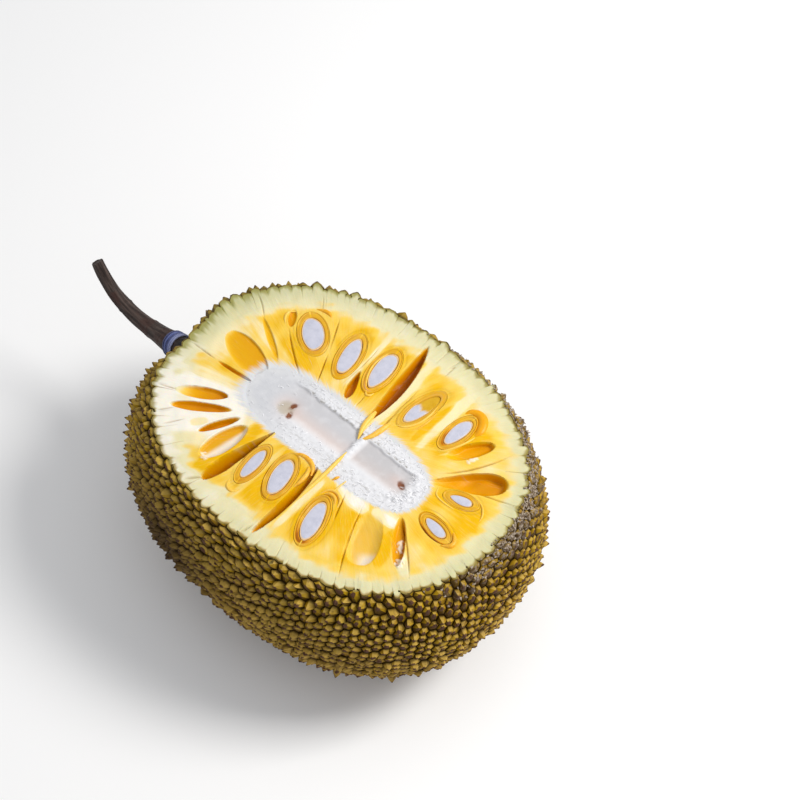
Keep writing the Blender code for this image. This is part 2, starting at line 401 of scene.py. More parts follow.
def spine_net(points):
    """Closed net of triangles through the spots, open above the cut, lying under the skin."""
    bm = bmesh.new()
    for p in points:
        bm.verts.new(p)
    bmesh.ops.convex_hull(bm, input=bm.verts)
    top = [v for v in bm.verts if v.co.z > FACE[2] + RIM_ABOVE or not v.link_faces]
    bmesh.ops.delete(bm, geom=top, context="VERTS")
    places = np.array([v.co for v in bm.verts])
    inset = np.interp(FACE[2] - places[:, 2], NET_DEPTHS, NET_INSETS)
    for v, place in zip(bm.verts, body_surface(*body_angles(places), inset=inset)):
        v.co = place
    bmesh.ops.recalc_face_normals(bm, faces=bm.faces)
    net = bpy.data.meshes.new("net")
    bm.to_mesh(net)
    bm.free()
    return net


net = spine_net(spots)
print("net of %d triangles" % len(net.polygons))

# %% [markdown]
# Each spine is the same three moves on its own cell: a low collar that leaves a groove beside it, a
# shoulder, and a tip that ends in a small blunt facet. Geometry Nodes swap the net's triangles for cells
# round its points and make the moves on all of them at once, each with its own height and lean. The height
# is stored on the points for the colours.

# %% The spine tree
RIM_FADE = 0.018


def spine_tree():
    """Cells of the net drawn out to leaning spines in three steps."""
    titles = ("Collar", "Shoulder", "Tip", "Collar Width", "Shoulder Width", "Tip Width", "Lean")
    sizes = dict.fromkeys(titles, "Float")
    more = {"Drift": "Vector", "Cut Level": "Float", "Rim Share": "Float", "Seed": "Int", "Skin": "Material"}
    tree, given, result = geometry_tree("spines", {**sizes, **more})
    cells = node(tree, "GeometryNodeDualMesh", {"Mesh": given["Mesh"]}).outputs[0]
    ranges = {"lean": ((-1, -1, -1), (1, 1, 1)), "tone": (0.0, 1.0), "reach": (0.74, 1.24)}
    fields = {}
    for number, (title, (low, high)) in enumerate(ranges.items()):
        vector = isinstance(low, tuple)
        kind = "FLOAT_VECTOR" if vector else "FLOAT"
        seed = node(tree, "FunctionNodeIntegerMath", {0: given["Seed"], 1: number}, operation="ADD")
        chance = node(tree, "FunctionNodeRandomValue", {"Seed": seed.outputs[0]}, data_type=kind)
        chance.inputs[0 if vector else 2].default_value = low
        chance.inputs[1 if vector else 3].default_value = high
        store = node(tree, "GeometryNodeStoreNamedAttribute", {"Geometry": cells, "Name": title},
                     data_type=kind, domain="FACE")
        tree.links.new(chance.outputs[0 if vector else 1], store.inputs["Value"])
        cells = store.outputs[0]
        fields[title] = stored(tree, title, kind)
    leaning = vector_sum(tree, "SCALE", {0: fields["lean"], "Scale": given["Lean"]})
    outward = vector_sum(tree, "ADD", {0: node(tree, "GeometryNodeInputNormal").outputs[0], 1: leaning})
    outward = vector_sum(tree, "ADD", {0: outward, 1: given["Drift"]})
    position = node(tree, "GeometryNodeInputPosition").outputs[0]
    level = node(tree, "ShaderNodeSeparateXYZ", {0: position}).outputs[2]
    below = calc(tree, "SUBTRACT", given["Cut Level"], RIM_FADE)
    feeds = {"Value": level, "From Min": below, "From Max": given["Cut Level"], "To Min": 1.0,
             "To Max": given["Rim Share"]}
    share = node(tree, "ShaderNodeMapRange", feeds).outputs[0]
    reach = calc(tree, "MULTIPLY", fields["reach"], share)
    top = True
    for part, height in (("Collar", 0.15), ("Shoulder", 0.55), ("Tip", 1.0)):
        rise = calc(tree, "MULTIPLY", given[part], reach)
        feeds = {"Mesh": cells, "Selection": top, "Offset": outward, "Offset Scale": rise, "Individual": True}
        drawn = node(tree, "GeometryNodeExtrudeMesh", feeds)
        top = drawn.outputs["Top"]
        narrow = node(tree, "GeometryNodeScaleElements",
                      {"Geometry": drawn.outputs[0], "Selection": top, "Scale": given[part + " Width"]})
        mark = node(tree, "GeometryNodeStoreNamedAttribute",
                    {"Geometry": narrow.outputs[0], "Selection": top, "Name": "height", "Value": height},
                    data_type="FLOAT", domain="POINT")
        cells = mark.outputs[0]
    real = node(tree, "GeometryNodeRealizeInstances", {"Geometry": cells}).outputs[0]
    skinned = node(tree, "GeometryNodeSetMaterial", {"Geometry": real, "Material": given["Skin"]})
    tree.links.new(skinned.outputs[0], result[0])
    return tree


skin_material = bpy.data.materials.new("spiny skin")
spines = grow(net, spine_tree(), {"Collar": 0.0011, "Shoulder": 0.0020, "Tip": 0.0016, "Collar Width": 0.93,
                                  "Shoulder Width": 0.60, "Tip Width": 0.18, "Lean": 0.46,
                                  "Drift": (-0.30, 0.0, 0.32), "Seed": 11, "Cut Level": float(FACE[2]),
                                  "Rim Share": 0.60, "Skin": skin_material})
print("spines: %d faces, masks %s" % (len(spines.polygons), sorted(a.name for a in spines.attributes)))

# %% [markdown]
# A knife went through the fruit level, so the spines are cut at one plane. What the cut leaves is one long
# ragged loop round the face and a few small loops where a spine from below just reached the knife. The
# small ones are capped at once. The long one is put in order and its edges made short, because the rind
# grows inwards from it.

# %% The level cut
LOOP_STEP = 0.0011
FLAT = 1e-6


def ordered_loops(edges):
    """Loops of points from edges that meet end to end, the longest last, in the same order in every run."""
    left = dict.fromkeys(edges)
    loops = []
    while left:
        edge = next(iter(left))
        del left[edge]
        start, at = edge.verts
        loop = [start]
        while at is not start:
            loop.append(at)
            edge = next(e for e in at.link_edges if e in left)
            del left[edge]
            at = edge.other_vert(at)
        loops.append(loop)
    return sorted(loops, key=len)


def cut_edges(bm):
    """Open edges that lie in the plane of the cut."""
    return [e for e in bm.edges if e.is_boundary and all(abs(v.co.z - FACE[2]) < FLAT for v in e.verts)]


def cut_level(mesh):
    """Cuts the spines level, caps the small loops and returns the skin with its rim in order."""
    bm = bmesh.new()
    bm.from_mesh(mesh)
    bmesh.ops.remove_doubles(bm, verts=bm.verts, dist=FLAT)
    everything = bm.verts[:] + bm.edges[:] + bm.faces[:]
    plane = {"plane_co": FACE, "plane_no": (0, 0, 1)}
    bmesh.ops.bisect_plane(bm, geom=everything, dist=FLAT, clear_outer=True, **plane)
    for v in bm.verts:
        v.co.z = max(v.co.z, 0.0) if v.co.z < FACE[2] - FLAT else FACE[2]
    loops = ordered_loops(cut_edges(bm))
    for loop in loops[:-1]:
        cap = bm.faces.new(loop)
        cap.normal_update()
        if cap.normal.z < 0:
            cap.normal_flip()
    for edge in cut_edges(bm):
        for left in range(int(edge.calc_length() / LOOP_STEP), 0, -1):
            edge, _ = bmesh.utils.edge_split(edge, edge.verts[0], 1 / (left + 1))
    return bm, ordered_loops(cut_edges(bm))[-1]


bm, rim = cut_level(spines)
around = body_angles(np.array([v.co for v in rim]))[1]
if np.unwrap(around)[-1] < around[0]:
    rim.reverse()
start = int(np.argmin(body_angles(np.array([v.co for v in rim]))[1]))
rim = rim[start:] + rim[:start]
RIM = np.array([v.co for v in rim])
print("rim of %d points" % len(RIM))


# %% Columns from the rim inwards
def smooth_round(values, window):
    """Running mean of numbers that go round and come back to the start."""
    padded = np.concatenate([values[-window:], values, values[:window]])
    return np.convolve(padded, np.ones(window) / window, mode="same")[window:-window]


def rim_angles(points, window):
    """Angle round the face for each rim point, smoothed and always growing."""
    turn = np.unwrap(body_angles(points)[1])
    even = np.linspace(0, 2 * math.pi, len(turn), endpoint=False)
    return np.maximum.accumulate(even + smooth_round(turn - even, window))


COLUMN_ANGLES = rim_angles(RIM, 41)
OUTLINE = body_surface(CUT_DOWN, COLUMN_ANGLES, dimple=False)
INWARD = body_surface(CUT_DOWN, COLUMN_ANGLES, inset=0.02, dimple=False) - OUTLINE
INWARD /= np.linalg.norm(INWARD, axis=1, keepdims=True)
RIM_DEPTH = ((RIM - OUTLINE) * INWARD).sum(1)
print("rim lies %.1f to %.1f mm inside the outline" % (RIM_DEPTH.min() * 1000, RIM_DEPTH.max() * 1000))

# %% [markdown]
# The skin is closed behind the rim: a narrow flat edge, then an inner wall that follows the same body rule
# down to the bottom. A closed shell keeps its thickness in every view.

# %% Close the skin behind the rim
EDGE_WIDTH = 0.0011
INNER_INSET = 0.0095
INNER_DOWNS = (-0.40, -0.1, 0.25, 0.6, 0.9, 1.2, 1.4)


def close_skin(bm, rim):
    """Flat edge inside the rim and an inner wall down to a point at the bottom."""
    columns = len(rim)
    rings = [rim, [bm.verts.new(p) for p in RIM + INWARD * EDGE_WIDTH]]
    for down in INNER_DOWNS:
        rings.append([bm.verts.new(p) for p in body_surface(down, COLUMN_ANGLES, inset=INNER_INSET)])
    for upper, lower in zip(rings, rings[1:]):
        for i in range(columns):
            after = (i + 1) % columns
            bm.faces.new((upper[i], upper[after], lower[after], lower[i]))
    bottom = bm.verts.new(np.mean([v.co for v in rings[-1]], axis=0))
    for i in range(columns):
        bm.faces.new((rings[-1][i], rings[-1][(i + 1) % columns], bottom))
    mesh = bpy.data.meshes.new("skin")
    bm.to_mesh(mesh)
    bm.free()
    return mesh


# Sides of the fruit, as the angle round it and a half width in degrees, with the depths that go with them.
# The side with dry tips painted pale, partly dry skin and partly a painted sheen.
DRY_AND_SHEEN_SIDE = (32, 62)
SHADED_SIDE = (150, 80)
NEAR_CUT = 0.016
DARK_PATCH_SIDE = (-112, 27)
DARK_PATCH_DEPTH = 0.066
DARK_PATCH_SPREAD = 0.032
LOW_DEPTH = 0.11
# Facets that lean this way are painted paler as a painted highlight and the opposite ones darker as painted
# shade, which brings out each spine.
SUN = np.array([0.25, 0.20, 0.80])


def side_mask(angle, side):
    """One in the middle of a side of the fruit, fading to nothing at its half width."""
    centre, width = side
    off = np.abs((np.degrees(angle) - centre + 180) % 360 - 180)
    return np.clip(1 - off / width, 0, 1)


def body_normals(points):
    """Outward directions of the smooth body nearest to some points."""
    down, around = body_angles(points)
    small = 0.001
    fall = body_surface(down + small, around, dimple=False) - body_surface(down - small, around, dimple=False)
    turn = body_surface(down, around + small, dimple=False) - body_surface(down, around - small, dimple=False)
    normals = np.cross(fall, turn)
    return normals / np.linalg.norm(normals, axis=1, keepdims=True)


def mark_skin(mesh):
    """Masks for the skin: its flat cut faces, its dry tips with a painted sheen, its dark patch, its sides in
    painted shade, and which facets get painted light or shade.
    """
    points = np.empty(len(mesh.vertices) * 3)
    mesh.vertices.foreach_get("co", points)
    points = points.reshape(-1, 3)
    level = points[:, 2] > FACE[2] - FLAT
    cut = [all(level[i] for i in face.vertices) for face in mesh.polygons]
    set_mask(mesh, "cut", cut, domain="FACE")
    angle = body_angles(points)[1]
    depth = FACE[2] - points[:, 2]
    near_cut = np.clip(1.25 - depth / NEAR_CUT, 0, 1)
    set_mask(mesh, "dry_and_sheen", near_cut * np.clip(1.6 * side_mask(angle, DRY_AND_SHEEN_SIDE), 0, 1))
    # A darker brown patch low on the front left of the fruit.
    dark_patch = side_mask(angle, DARK_PATCH_SIDE) * np.exp(-(((depth - DARK_PATCH_DEPTH) / DARK_PATCH_SPREAD) ** 2))
    set_mask(mesh, "dark_patch", np.clip(1.3 * dark_patch, 0, 1))
    set_mask(mesh, "shaded", near_cut * side_mask(angle, SHADED_SIDE))
    set_mask(mesh, "low", np.clip(depth / LOW_DEPTH, 0, 1))
    facing = np.array([face.normal for face in mesh.polygons])
    smooth = body_normals(np.array([face.center for face in mesh.polygons]))
    set_mask(mesh, "sun", np.clip(0.5 + (facing - smooth) @ SUN, 0, 1), domain="FACE")


skin_mesh = close_skin(bm, rim)
skin_mesh.materials.append(skin_material)
mark_skin(skin_mesh)
print("skin closed with %d faces" % len(skin_mesh.polygons))

# %% [markdown]
# ## Skin colours
# The groove between two cells is dark with painted shade, the flanks are olive and the tip is a purple brown.
# The height stored on the points says which is which. A blotchy mask, shared by many of the materials here,
# breaks the colours up.

# %% A shared blotch mask
def shader_group(name, inputs, outputs):
    """Empty shader node group with named inputs and outputs."""
    group = bpy.data.node_groups.new(name, "ShaderNodeTree")
    for title, (kind, value) in inputs.items():
        socket = group.interface.new_socket(title, in_out="INPUT", socket_type="NodeSocket" + kind)
        if value is not None:
            socket.default_value = value
    for title, kind in outputs.items():
        group.interface.new_socket(title, in_out="OUTPUT", socket_type="NodeSocket" + kind)
    return group, group.nodes.new("NodeGroupInput").outputs, group.nodes.new("NodeGroupOutput").inputs


def blotch_group():
    """Soft patches: a mask of noise with a chosen size, edge and share."""
    inputs = {"Vector": ("Vector", None), "Scale": ("Float", 60.0)}
    inputs |= {"Share": ("Float", 0.5), "Edge": ("Float", 0.1)}
    group, given, result = shader_group("blotches", inputs, {"Mask": "Float"})
    feeds = {"Vector": given["Vector"], "Scale": given["Scale"], "Detail": 4.0}
    patches = node(group, "ShaderNodeTexNoise", feeds).outputs[0]
    level = calc(group, "SUBTRACT", 1.0, given["Share"])
    low = calc(group, "SUBTRACT", level, given["Edge"])
    high = calc(group, "ADD", level, given["Edge"])
    feeds = {"Value": patches, "From Min": low, "From Max": high}
    step = node(group, "ShaderNodeMapRange", feeds, interpolation_type="SMOOTHSTEP")
    group.links.new(step.outputs[0], result["Mask"])
    return group


BLOTCHES = blotch_group()
print("blotches take", [item.name for item in BLOTCHES.interface.items_tree if item.in_out == "INPUT"])


def blotches(tree, vector, scale, share, edge):
    """The blotch mask, placed in a material."""
    feeds = {"Vector": vector, "Scale": scale, "Share": share, "Edge": edge}
    return node(tree, "ShaderNodeGroup", feeds, node_tree=BLOTCHES).outputs[0]


# %% Small words for building materials
def open_material(material):
    """Material's tree, its Principled shader and Object coordinates."""
    material.use_nodes = True
    tree = material.node_tree
    return tree, tree.nodes["Principled BSDF"], node(tree, "ShaderNodeTexCoord").outputs["Object"]


def mask(tree, name):
    """A mask stored on the mesh."""
    return node(tree, "ShaderNodeAttribute", attribute_name=name).outputs["Fac"]


def mix(tree, factor, first, second):
    """Colour between two colours; each is a socket or three numbers."""
    new = node(tree, "ShaderNodeMix", {0: factor}, data_type="RGBA")
    for slot, colour in ((6, first), (7, second)):
        if isinstance(colour, bpy.types.NodeSocket):
            tree.links.new(colour, new.inputs[slot])
        else:
            new.inputs[slot].default_value = (*colour, 1)
    return new.outputs[2]


def ramp(tree, value, low, high, start=0.0, end=1.0):
    """A value eased between two levels."""
    feeds = {"Value": value, "From Min": low, "From Max": high, "To Min": start, "To Max": end}
    return node(tree, "ShaderNodeMapRange", feeds, interpolation_type="SMOOTHSTEP").outputs[0]


def noise(tree, vector, scale, detail=3.0):
    """Plain noise around a half."""
    feeds = {"Vector": vector, "Scale": scale, "Detail": detail}
    return node(tree, "ShaderNodeTexNoise", feeds).outputs[0]


def times(tree, first, second):
    """Product of two numbers or sockets."""
    return calc(tree, "MULTIPLY", first, second)


def stray(tree, value, wave, amount):
    """A value pushed up and down by a noise around a half."""
    return calc(tree, "MULTIPLY_ADD", calc(tree, "SUBTRACT", wave, 0.5), amount, value)


def bump(tree, shader, height, distance, strength):
    """Raises a height on a shader."""
    new = node(tree, "ShaderNodeBump", {"Height": height, "Distance": distance, "Strength": strength})
    tree.links.new(new.outputs[0], shader.inputs["Normal"])


def dress(tree, shader, colour, roughness, gloss):
    """Gives a shader its colour, its roughness and its level of gloss; each is a socket or a plain value."""
    for title, value in (("Base Color", colour), ("Roughness", roughness), ("Specular IOR Level", gloss)):
        if isinstance(value, bpy.types.NodeSocket):
            tree.links.new(value, shader.inputs[title])
        else:
            shader.inputs[title].default_value = value


def soften(shader, weight, radius):
    """Lets light spread inside a finish, by a length for each of red, green and blue."""
    shader.inputs["Subsurface Weight"].default_value = weight
    shader.inputs["Subsurface Radius"].default_value = radius
    shader.inputs["Subsurface Scale"].default_value = 1.0


print("words for materials ready")


# %% Skin material
def paint_skin(material):
    """Olive spines, dark tips, painted shade in the grooves, painted light and shade on the facets, painted
    sheen on dry tips, a dark patch, pale green cuts.
    """
    tree, shader, place = open_material(material)
    height = mask(tree, "height")
    tone = mask(tree, "tone")
    wide = noise(tree, place, 28.0)
    fine = noise(tree, place, 420.0)
    shade = calc(tree, "ADD", times(tree, tone, 0.5), times(tree, fine, 0.5))
    olive = mix(tree, shade, (0.26, 0.146, 0.001), (0.49, 0.305, 0.003))
    low = calc(tree, "ADD", times(tree, mask(tree, "low"), 0.45), times(tree, wide, 0.9))
    brown = mix(tree, tone, (0.24, 0.110, 0.004), (0.50, 0.275, 0.018))
    olive = mix(tree, ramp(tree, low, 0.35, 0.95, 0.0, 0.85), olive, brown)
    # Painted light and shade: facets that lean towards SUN are painted paler, the others darker.
    sun = mask(tree, "sun")
    olive = mix(tree, ramp(tree, sun, 0.52, 0.18, 0.0, 0.94), olive, (0.055, 0.026, 0.001))
    olive = mix(tree, ramp(tree, sun, 0.56, 0.94, 0.0, 0.55), olive, (0.60, 0.415, 0.11))
    patches = times(tree, blotches(tree, place, 190.0, 0.40, 0.05), 0.6)
    olive = mix(tree, patches, olive, (0.13, 0.075, 0.022))
    olive = mix(tree, times(tree, mask(tree, "shaded"), 0.75), olive, (0.13, 0.095, 0.018))
    olive = mix(tree, ramp(tree, mask(tree, "low"), 0.55, 1.0, 0.0, 0.35), olive, (0.11, 0.055, 0.020))
    # Painted shade darkens the grooves at the foot of each spine.
    shaded = mix(tree, ramp(tree, height, 0.0, 0.43), (0.030, 0.013, 0.001), olive)
    ragged = calc(tree, "ADD", height, times(tree, calc(tree, "SUBTRACT", fine, 0.5), 0.6))
    ragged = calc(tree, "ADD", ragged, times(tree, calc(tree, "SUBTRACT", tone, 0.5), 0.28))
    # The dark tips reach further down the facets that lean away from SUN, as painted shade.
    ragged = calc(tree, "MULTIPLY_ADD", calc(tree, "SUBTRACT", 0.58, sun), 0.30, ragged)
    ragged = calc(tree, "MULTIPLY_ADD", mask(tree, "low"), 0.18, ragged)
    tip = mix(tree, noise(tree, place, 700.0), (0.030, 0.012, 0.006), (0.15, 0.070, 0.040))
    tipped = mix(tree, ramp(tree, ragged, 0.70, 0.86), shaded, tip)
    # A darker brown patch low on the front left.
    with_dark_patch = mix(tree, times(tree, mask(tree, "dark_patch"), 0.85), tipped, (0.055, 0.030, 0.016))
    # Pale flakes on the dry tips of the side that faces the lamp: partly dry skin, partly a painted sheen.
    flaky = calc(tree, "ADD", ragged, calc(tree, "SUBTRACT", noise(tree, place, 170.0), 0.5))
    flaky = times(tree, mask(tree, "dry_and_sheen"), ramp(tree, flaky, 0.20, 0.60))
    flakes = mix(tree, ramp(tree, fine, 0.40, 0.66), (0.085, 0.050, 0.026), (0.41, 0.34, 0.26))
    dried_and_sheen = mix(tree, flaky, with_dark_patch, flakes)
    patches = ramp(tree, noise(tree, place, 160.0), 0.35, 0.65)
    cut = mix(tree, patches, (0.085, 0.055, 0.010), (0.28, 0.22, 0.055))
    colour = mix(tree, mask(tree, "cut"), dried_and_sheen, cut)
    dress(tree, shader, colour, ramp(tree, fine, 0.3, 0.7, 0.50, 0.70), 0.12)
    bump(tree, shader, noise(tree, place, 900.0, 4.0), 0.0004, 0.5)


paint_skin(skin_material)
finish_piece(skin_mesh, "spiny_skin", ["rind"], smooth=False)

# %% [markdown]
# ## What shows on the cut
# The cut is one level surface that the rind, the flesh and the core share, so its colours and hollows are
# worked out once, as numbers at any place on the face. Places are in millimetres from the middle of the
# face. A hollow is a leaf shape between an inner and an outer end. Each one is a bulb that the knife opened
# or emptied.

# %% Places on the face
LEAF_TIP = 0.97


def leaf(x, y, shape):
    """A place in a leaf shape: share along (-1 to 1), way to the left, half width, left direction, length."""
    (x0, y0), (x1, y1) = shape["inner"], shape["outer"]
    length = math.hypot(x1 - x0, y1 - y0)
    ux, uy = (x1 - x0) / length, (y1 - y0) / length
    dx, dy = x - (x0 + x1) / 2, y - (y0 + y1) / 2
    along = (dx * ux + dy * uy) / (length / 2)
    room = np.clip(1 - along**2, 1e-4, 1)
    across = dy * ux - dx * uy - shape.get("bend", 0.0) * room
    half = shape["width"] / 2 * (1 + shape.get("fat", 0.0) * along) * room ** shape.get("point", 0.5)
    return along, across, np.where(np.abs(along) < 1, half, 1e-3), (-uy, ux), length


def ease(value, low, high):
    """Smooth step from 0 at low to 1 at high."""
    t = np.clip((value - low) / (high - low), 0, 1)
    return t * t * (3 - 2 * t)


def face_inset(x, y):
    """Distance of a place inside the outline of the cut, and its angle round the face."""
    px, py = x / (HALF_LENGTH / MM), y / (HALF_WIDTH / MM)
    reach = (np.abs(px) ** SQUARENESS + np.abs(py) ** SQUARENESS) ** (1 / SQUARENESS)
    return np.hypot(x, y) * (1 / np.maximum(reach, 1e-3) - 1), np.arctan2(py, px)


def ripple(x, y, size, seed):
    """Gentle random waves of a size in millimetres, between about -1 and 1."""
    rng = np.random.default_rng(seed)
    total = np.zeros_like(x)
    for _ in range(7):
        turn, shift = rng.uniform(0, 2 * math.pi, 2)
        pace = 2 * math.pi / (size * rng.uniform(0.6, 1.6))
        total = total + np.sin((x * math.cos(turn) + y * math.sin(turn)) * pace + shift)
    return total / 3.2


print("the middle of the face is %.0f mm inside its outline" % face_inset(0.0, 1.0)[0])

# %% Hollows
# Inner and outer are the two ends of a leaf shape. Fat makes its outer end the wider one, point sharpens
# its ends and bend bows it to the left. Walls are the widths of the right and the left slope seen from the
# inner end, and ends those of the two ends. Glow is how deep the orange is at the inner and the outer end;
# its darkest browns are partly the flesh's own colour and partly painted shade. Dark says which side gets
# painted shade, -1 the right and 1 the left, and by how much. Ripe is the yellow of the floor and tan how
# brown it is. Milk and highlight give the side and the way along from which the wall is painted white.
HOLLOWS = [
    dict(inner=(9.5, 20), outer=(-1.5, 101), width=11, bend=-3, point=0.75, depth=9, walls=(5.0, 3.0),
         ends=(14, 16), glow=(0.92, 0.97), dark=(0, 0)),
    dict(inner=(-16, 26), outer=(-24.5, 51), width=6.5, fat=-0.5, depth=6, walls=(1.0, 1.0), ends=(3, 8),
         glow=(0.6, 0.7), dark=(0, 0)),
    dict(inner=(72, 35), outer=(92, 66), width=12.5, depth=4.5, walls=(5, 1.0), ends=(14, 3),
         glow=(0.05, 0.55), dark=(1, 0.05)),
    dict(inner=(76, 11.5), outer=(121, 46.5), width=16.5, fat=0.62, depth=7, walls=(6, 2.2), ends=(34, 5.5),
         glow=(0.32, 0.56), dark=(1, 0.06), tan=0.03),
    dict(inner=(81, -23), outer=(105, -55), width=9.5, depth=4.0, walls=(3, 0.9), ends=(8, 2),
         glow=(0.28, 0.42), dark=(1, 0.35)),
    dict(inner=(65, -34), outer=(84, -72), width=23, fat=0.10, point=0.36, depth=3.8, walls=(5, 8),
         ends=(24, 6), glow=(0.16, 0.05), dark=(0, 0), ripe=0.45, milk_and_highlight=(-0.6, 0.5, 0.30), tan=0.28),
    dict(inner=(9, -31), outer=(11, -102), width=7.5, bend=2.6, depth=11, walls=(6, 0.8), ends=(16, 12),
         glow=(0.15, 0.80), dark=(1, 0.45)),
    dict(inner=(-34, -29), outer=(-46, -93), width=9.5, bend=-0.6, fat=0.75, depth=14, walls=(6, 1.0),
         ends=(8, 3), glow=(0.82, 0.72), dark=(1, 0.4)),
    dict(inner=(-52.5, -40), outer=(-60, -80), width=17, fat=0.1, depth=4.0, walls=(1.5, 6.0), ends=(5, 5),
         glow=(0.20, 0.08), dark=(-1, 0.10), tan=0.30, milk_and_highlight=(-0.30, 0.25, -2.0)),
    dict(inner=(-61.5, -38), outer=(-76.5, -66), width=7, depth=6, walls=(1.8, 1.8), ends=(8, 3),
         glow=(0.55, 0.7), dark=(1, 0.2)),
    dict(inner=(-70, -37), outer=(-108.5, -62.5), width=8.5, fat=0.15, depth=4.0, walls=(2.2, 2.6),
         ends=(12, 6), glow=(0.72, 0.40), dark=(-1, 0.12)),
    dict(inner=(-81, -30.5), outer=(-115, -51), width=11, depth=3.6, walls=(2.2, 2.6), ends=(2.0, 22),
         glow=(0.66, 0.05), dark=(1, 0.05)),
    dict(inner=(-73.5, 0), outer=(-122, 12), width=22, depth=1.4, walls=(0.9, 7), ends=(3, 8),
         glow=(0.25, 0.18), dark=(-1, 0.1), tan=0.10),
    dict(inner=(-77, -9.5), outer=(-109, -12.8), width=3.2, depth=3, walls=(0.9, 0.9), ends=(4, 10),
         glow=(0.3, 0.55), dark=(0, 0)),
    dict(inner=(-76, 17), outer=(-112, 38.5), width=5.5, point=0.7, depth=1.2, walls=(0.8, 3), ends=(8, 8),
         glow=(0.16, 0.1), dark=(0, 0)),
    dict(inner=(-90, 46), outer=(-99, 59), width=6.5, depth=2.2, walls=(1.5, 1.0), ends=(2, 3),
         glow=(0.4, 0.2), dark=(1, 0.2)),
]


def shapes(names, rows):
    """Leaf shapes from rows of values, in the order of the names; the last may be left out."""
    return [dict(zip(names.split(), row)) for row in rows]


# Dark lines where two bulbs or strands touch.
CREVICES = shapes("inner outer width depth bend", [
    ((-51, 15.5), (-93, 46), 1.7, 2.0, 1.0),
    ((-40, 20), (-53.5, 48), 1.6, 2.0),
    ((-52, 46), (-68.5, 77), 1.8, 1.8),
    ((-27, 28), (-29, 82), 1.3, 1.0, -2.0),
    ((-6, 24), (-6.5, 38), 1.2, 0.8),
    ((38, -33), (48.5, -59), 1.6, 1.8),
    ((54, -31), (84, -93), 1.8, 2.0, -2.5),
    ((79, -21), (120, -59), 1.7, 1.6, 1.5),
    ((18, 30), (19, 72), 1.2, 0.8, -1.0),
    ((22.5, 16), (20, 50), 1.8, 1.6, 1.0),
    ((59, 30), (59, 78), 1.4, 1.2, 1.5),
    ((74, 18), (108, 73), 1.8, 1.8, -4.5),
    ((88, 19), (141, 39), 1.5, 1.2),
    ((16, -20), (17, -64), 1.6, 1.4),
    ((8, -28), (16.5, -64), 1.5, 1.4),
    ((-112, -50), (-129, -57), 1.6, 1.0),
    ((-103, -62), (-113, -74), 1.5, 1.0),
    ((-90, -64), (-101, -80), 1.5, 1.0),
    ((-108, 36), (-134, 54), 1.6, 1.0, -1.5),
    ((-108, -12.8), (-139, -13), 1.6, 1.0),
    ((-45, -90), (-57, -103), 2.4, 2.0),
    ((8, -96), (4, -110), 2.2, 2.0),
    ((26, 86), (26, 104), 1.2, 0.6),
    ((-80, 70), (-92, 84), 1.0, 0.5),
])

# Washes of colour: how much riper or paler a patch is than the rest.
WASHES = shapes("inner outer width ripe", [
    ((-52, 22), (-112, 60), 52, 0.24),
    ((-50, 20), (-78, 34), 20, 0.35),
    ((-40, 22), (-44, 92), 32, 0.30),
    ((-8, 23), (-13, 96), 38, 0.35),
    ((-8, -26), (-14, -98), 50, 0.45),
    ((6, -30), (6, -90), 14, 0.30),
    ((33, -28), (44, -96), 40, 0.50),
    ((56, -26), (84, -82), 44, 0.45),
    ((84, -30), (96, -68), 14, 0.40),
    ((80, 0), (134, 0), 70, 0.30),
    ((110, 20), (126, -10), 40, 0.25),
    ((33, 24), (36, 88), 34, 0.35),
    ((44, 26), (48, 76), 7, 0.45),
    ((58, 26), (84, 76), 34, 0.38),
    ((-70, 8), (-124, 20), 48, 0.05),
    ((-58, 18), (-122, 34), 13, -0.40),
    ((-46, -26), (-136, -84), 66, -1.2),
    ((-70, -26), (-130, -40), 34, -0.9),
    ((-44, -26), (-56, -96), 18, 0.55),
    ((-76, -20), (-119, -31), 11, 0.50),
    ((-112, -24), (-116, 34), 30, -0.35),
    ((-19, -30), (-20, -96), 8, -0.50),
    ((-43, -50), (-45, -98), 7, -0.55),
    ((21, -34), (20, -92), 9, -0.55),
    ((88, -40), (118, -58), 12, -0.50),
    ((84, -2), (138, -2), 9, -0.35),
    ((-24, 30), (-27, 90), 7, -0.45),
    ((-77, -54), (-86, -66), 9, 0.55),
    ((15, 8), (12, 108), 12, -0.55),
    ((52, 20), (52, 110), 11, -0.55),
    ((-26, 62), (-30, 104), 6, -0.2),
    ((25, -29), (64, -38), 17, -1.2),
    ((60, -33), (86, -30), 13, -1.0),
    ((66, 30), (89, 68), 3.0, -0.5),
])

# Pale shreds left in some hollows.
SHREDS = shapes("inner outer width bend", [
    ((-63, -75), (-54, -80.5), 5.5),
    ((86.5, 41), (90.5, 50), 4.5, 1.0),
    ((92, -35), (99, -45), 5),
    ((100, -48), (108, -55), 5.5),
    ((104, -46), (106, -53), 4),
])

# Looks of the rim for angles round the face: how white and how grey-green the rind is, how wide its stained
# edge is in millimetres, and how olive rather than brown that edge is.
RIM_ANGLES = (-180, -150, -120, -90, -45, -15, 15, 45, 75, 105, 135, 165, 180)
WHITENESS = (0.2, 1.0, 0.65, 0.20, 0.15, 0.1, 0.0, 0.1, 0.2, 0.35, 0.3, 0.0, 0.2)
GREENNESS = (1.0, 0.12, 0.15, 0.3, 0.40, 0.6, 0.65, 0.45, 0.45, 0.5, 0.75, 1.0, 1.0)
EDGE_WIDTHS = (6.0, 3.0, 2.0, 1.4, 1.4, 1.7, 1.8, 2.0, 2.2, 2.6, 3.0, 6.0, 6.0)
OLIVE_EDGES = (1.0, 0.8, 0.35, 0.1, 0.1, 0.4, 0.6, 0.6, 0.7, 0.8, 1.0, 1.0, 1.0)

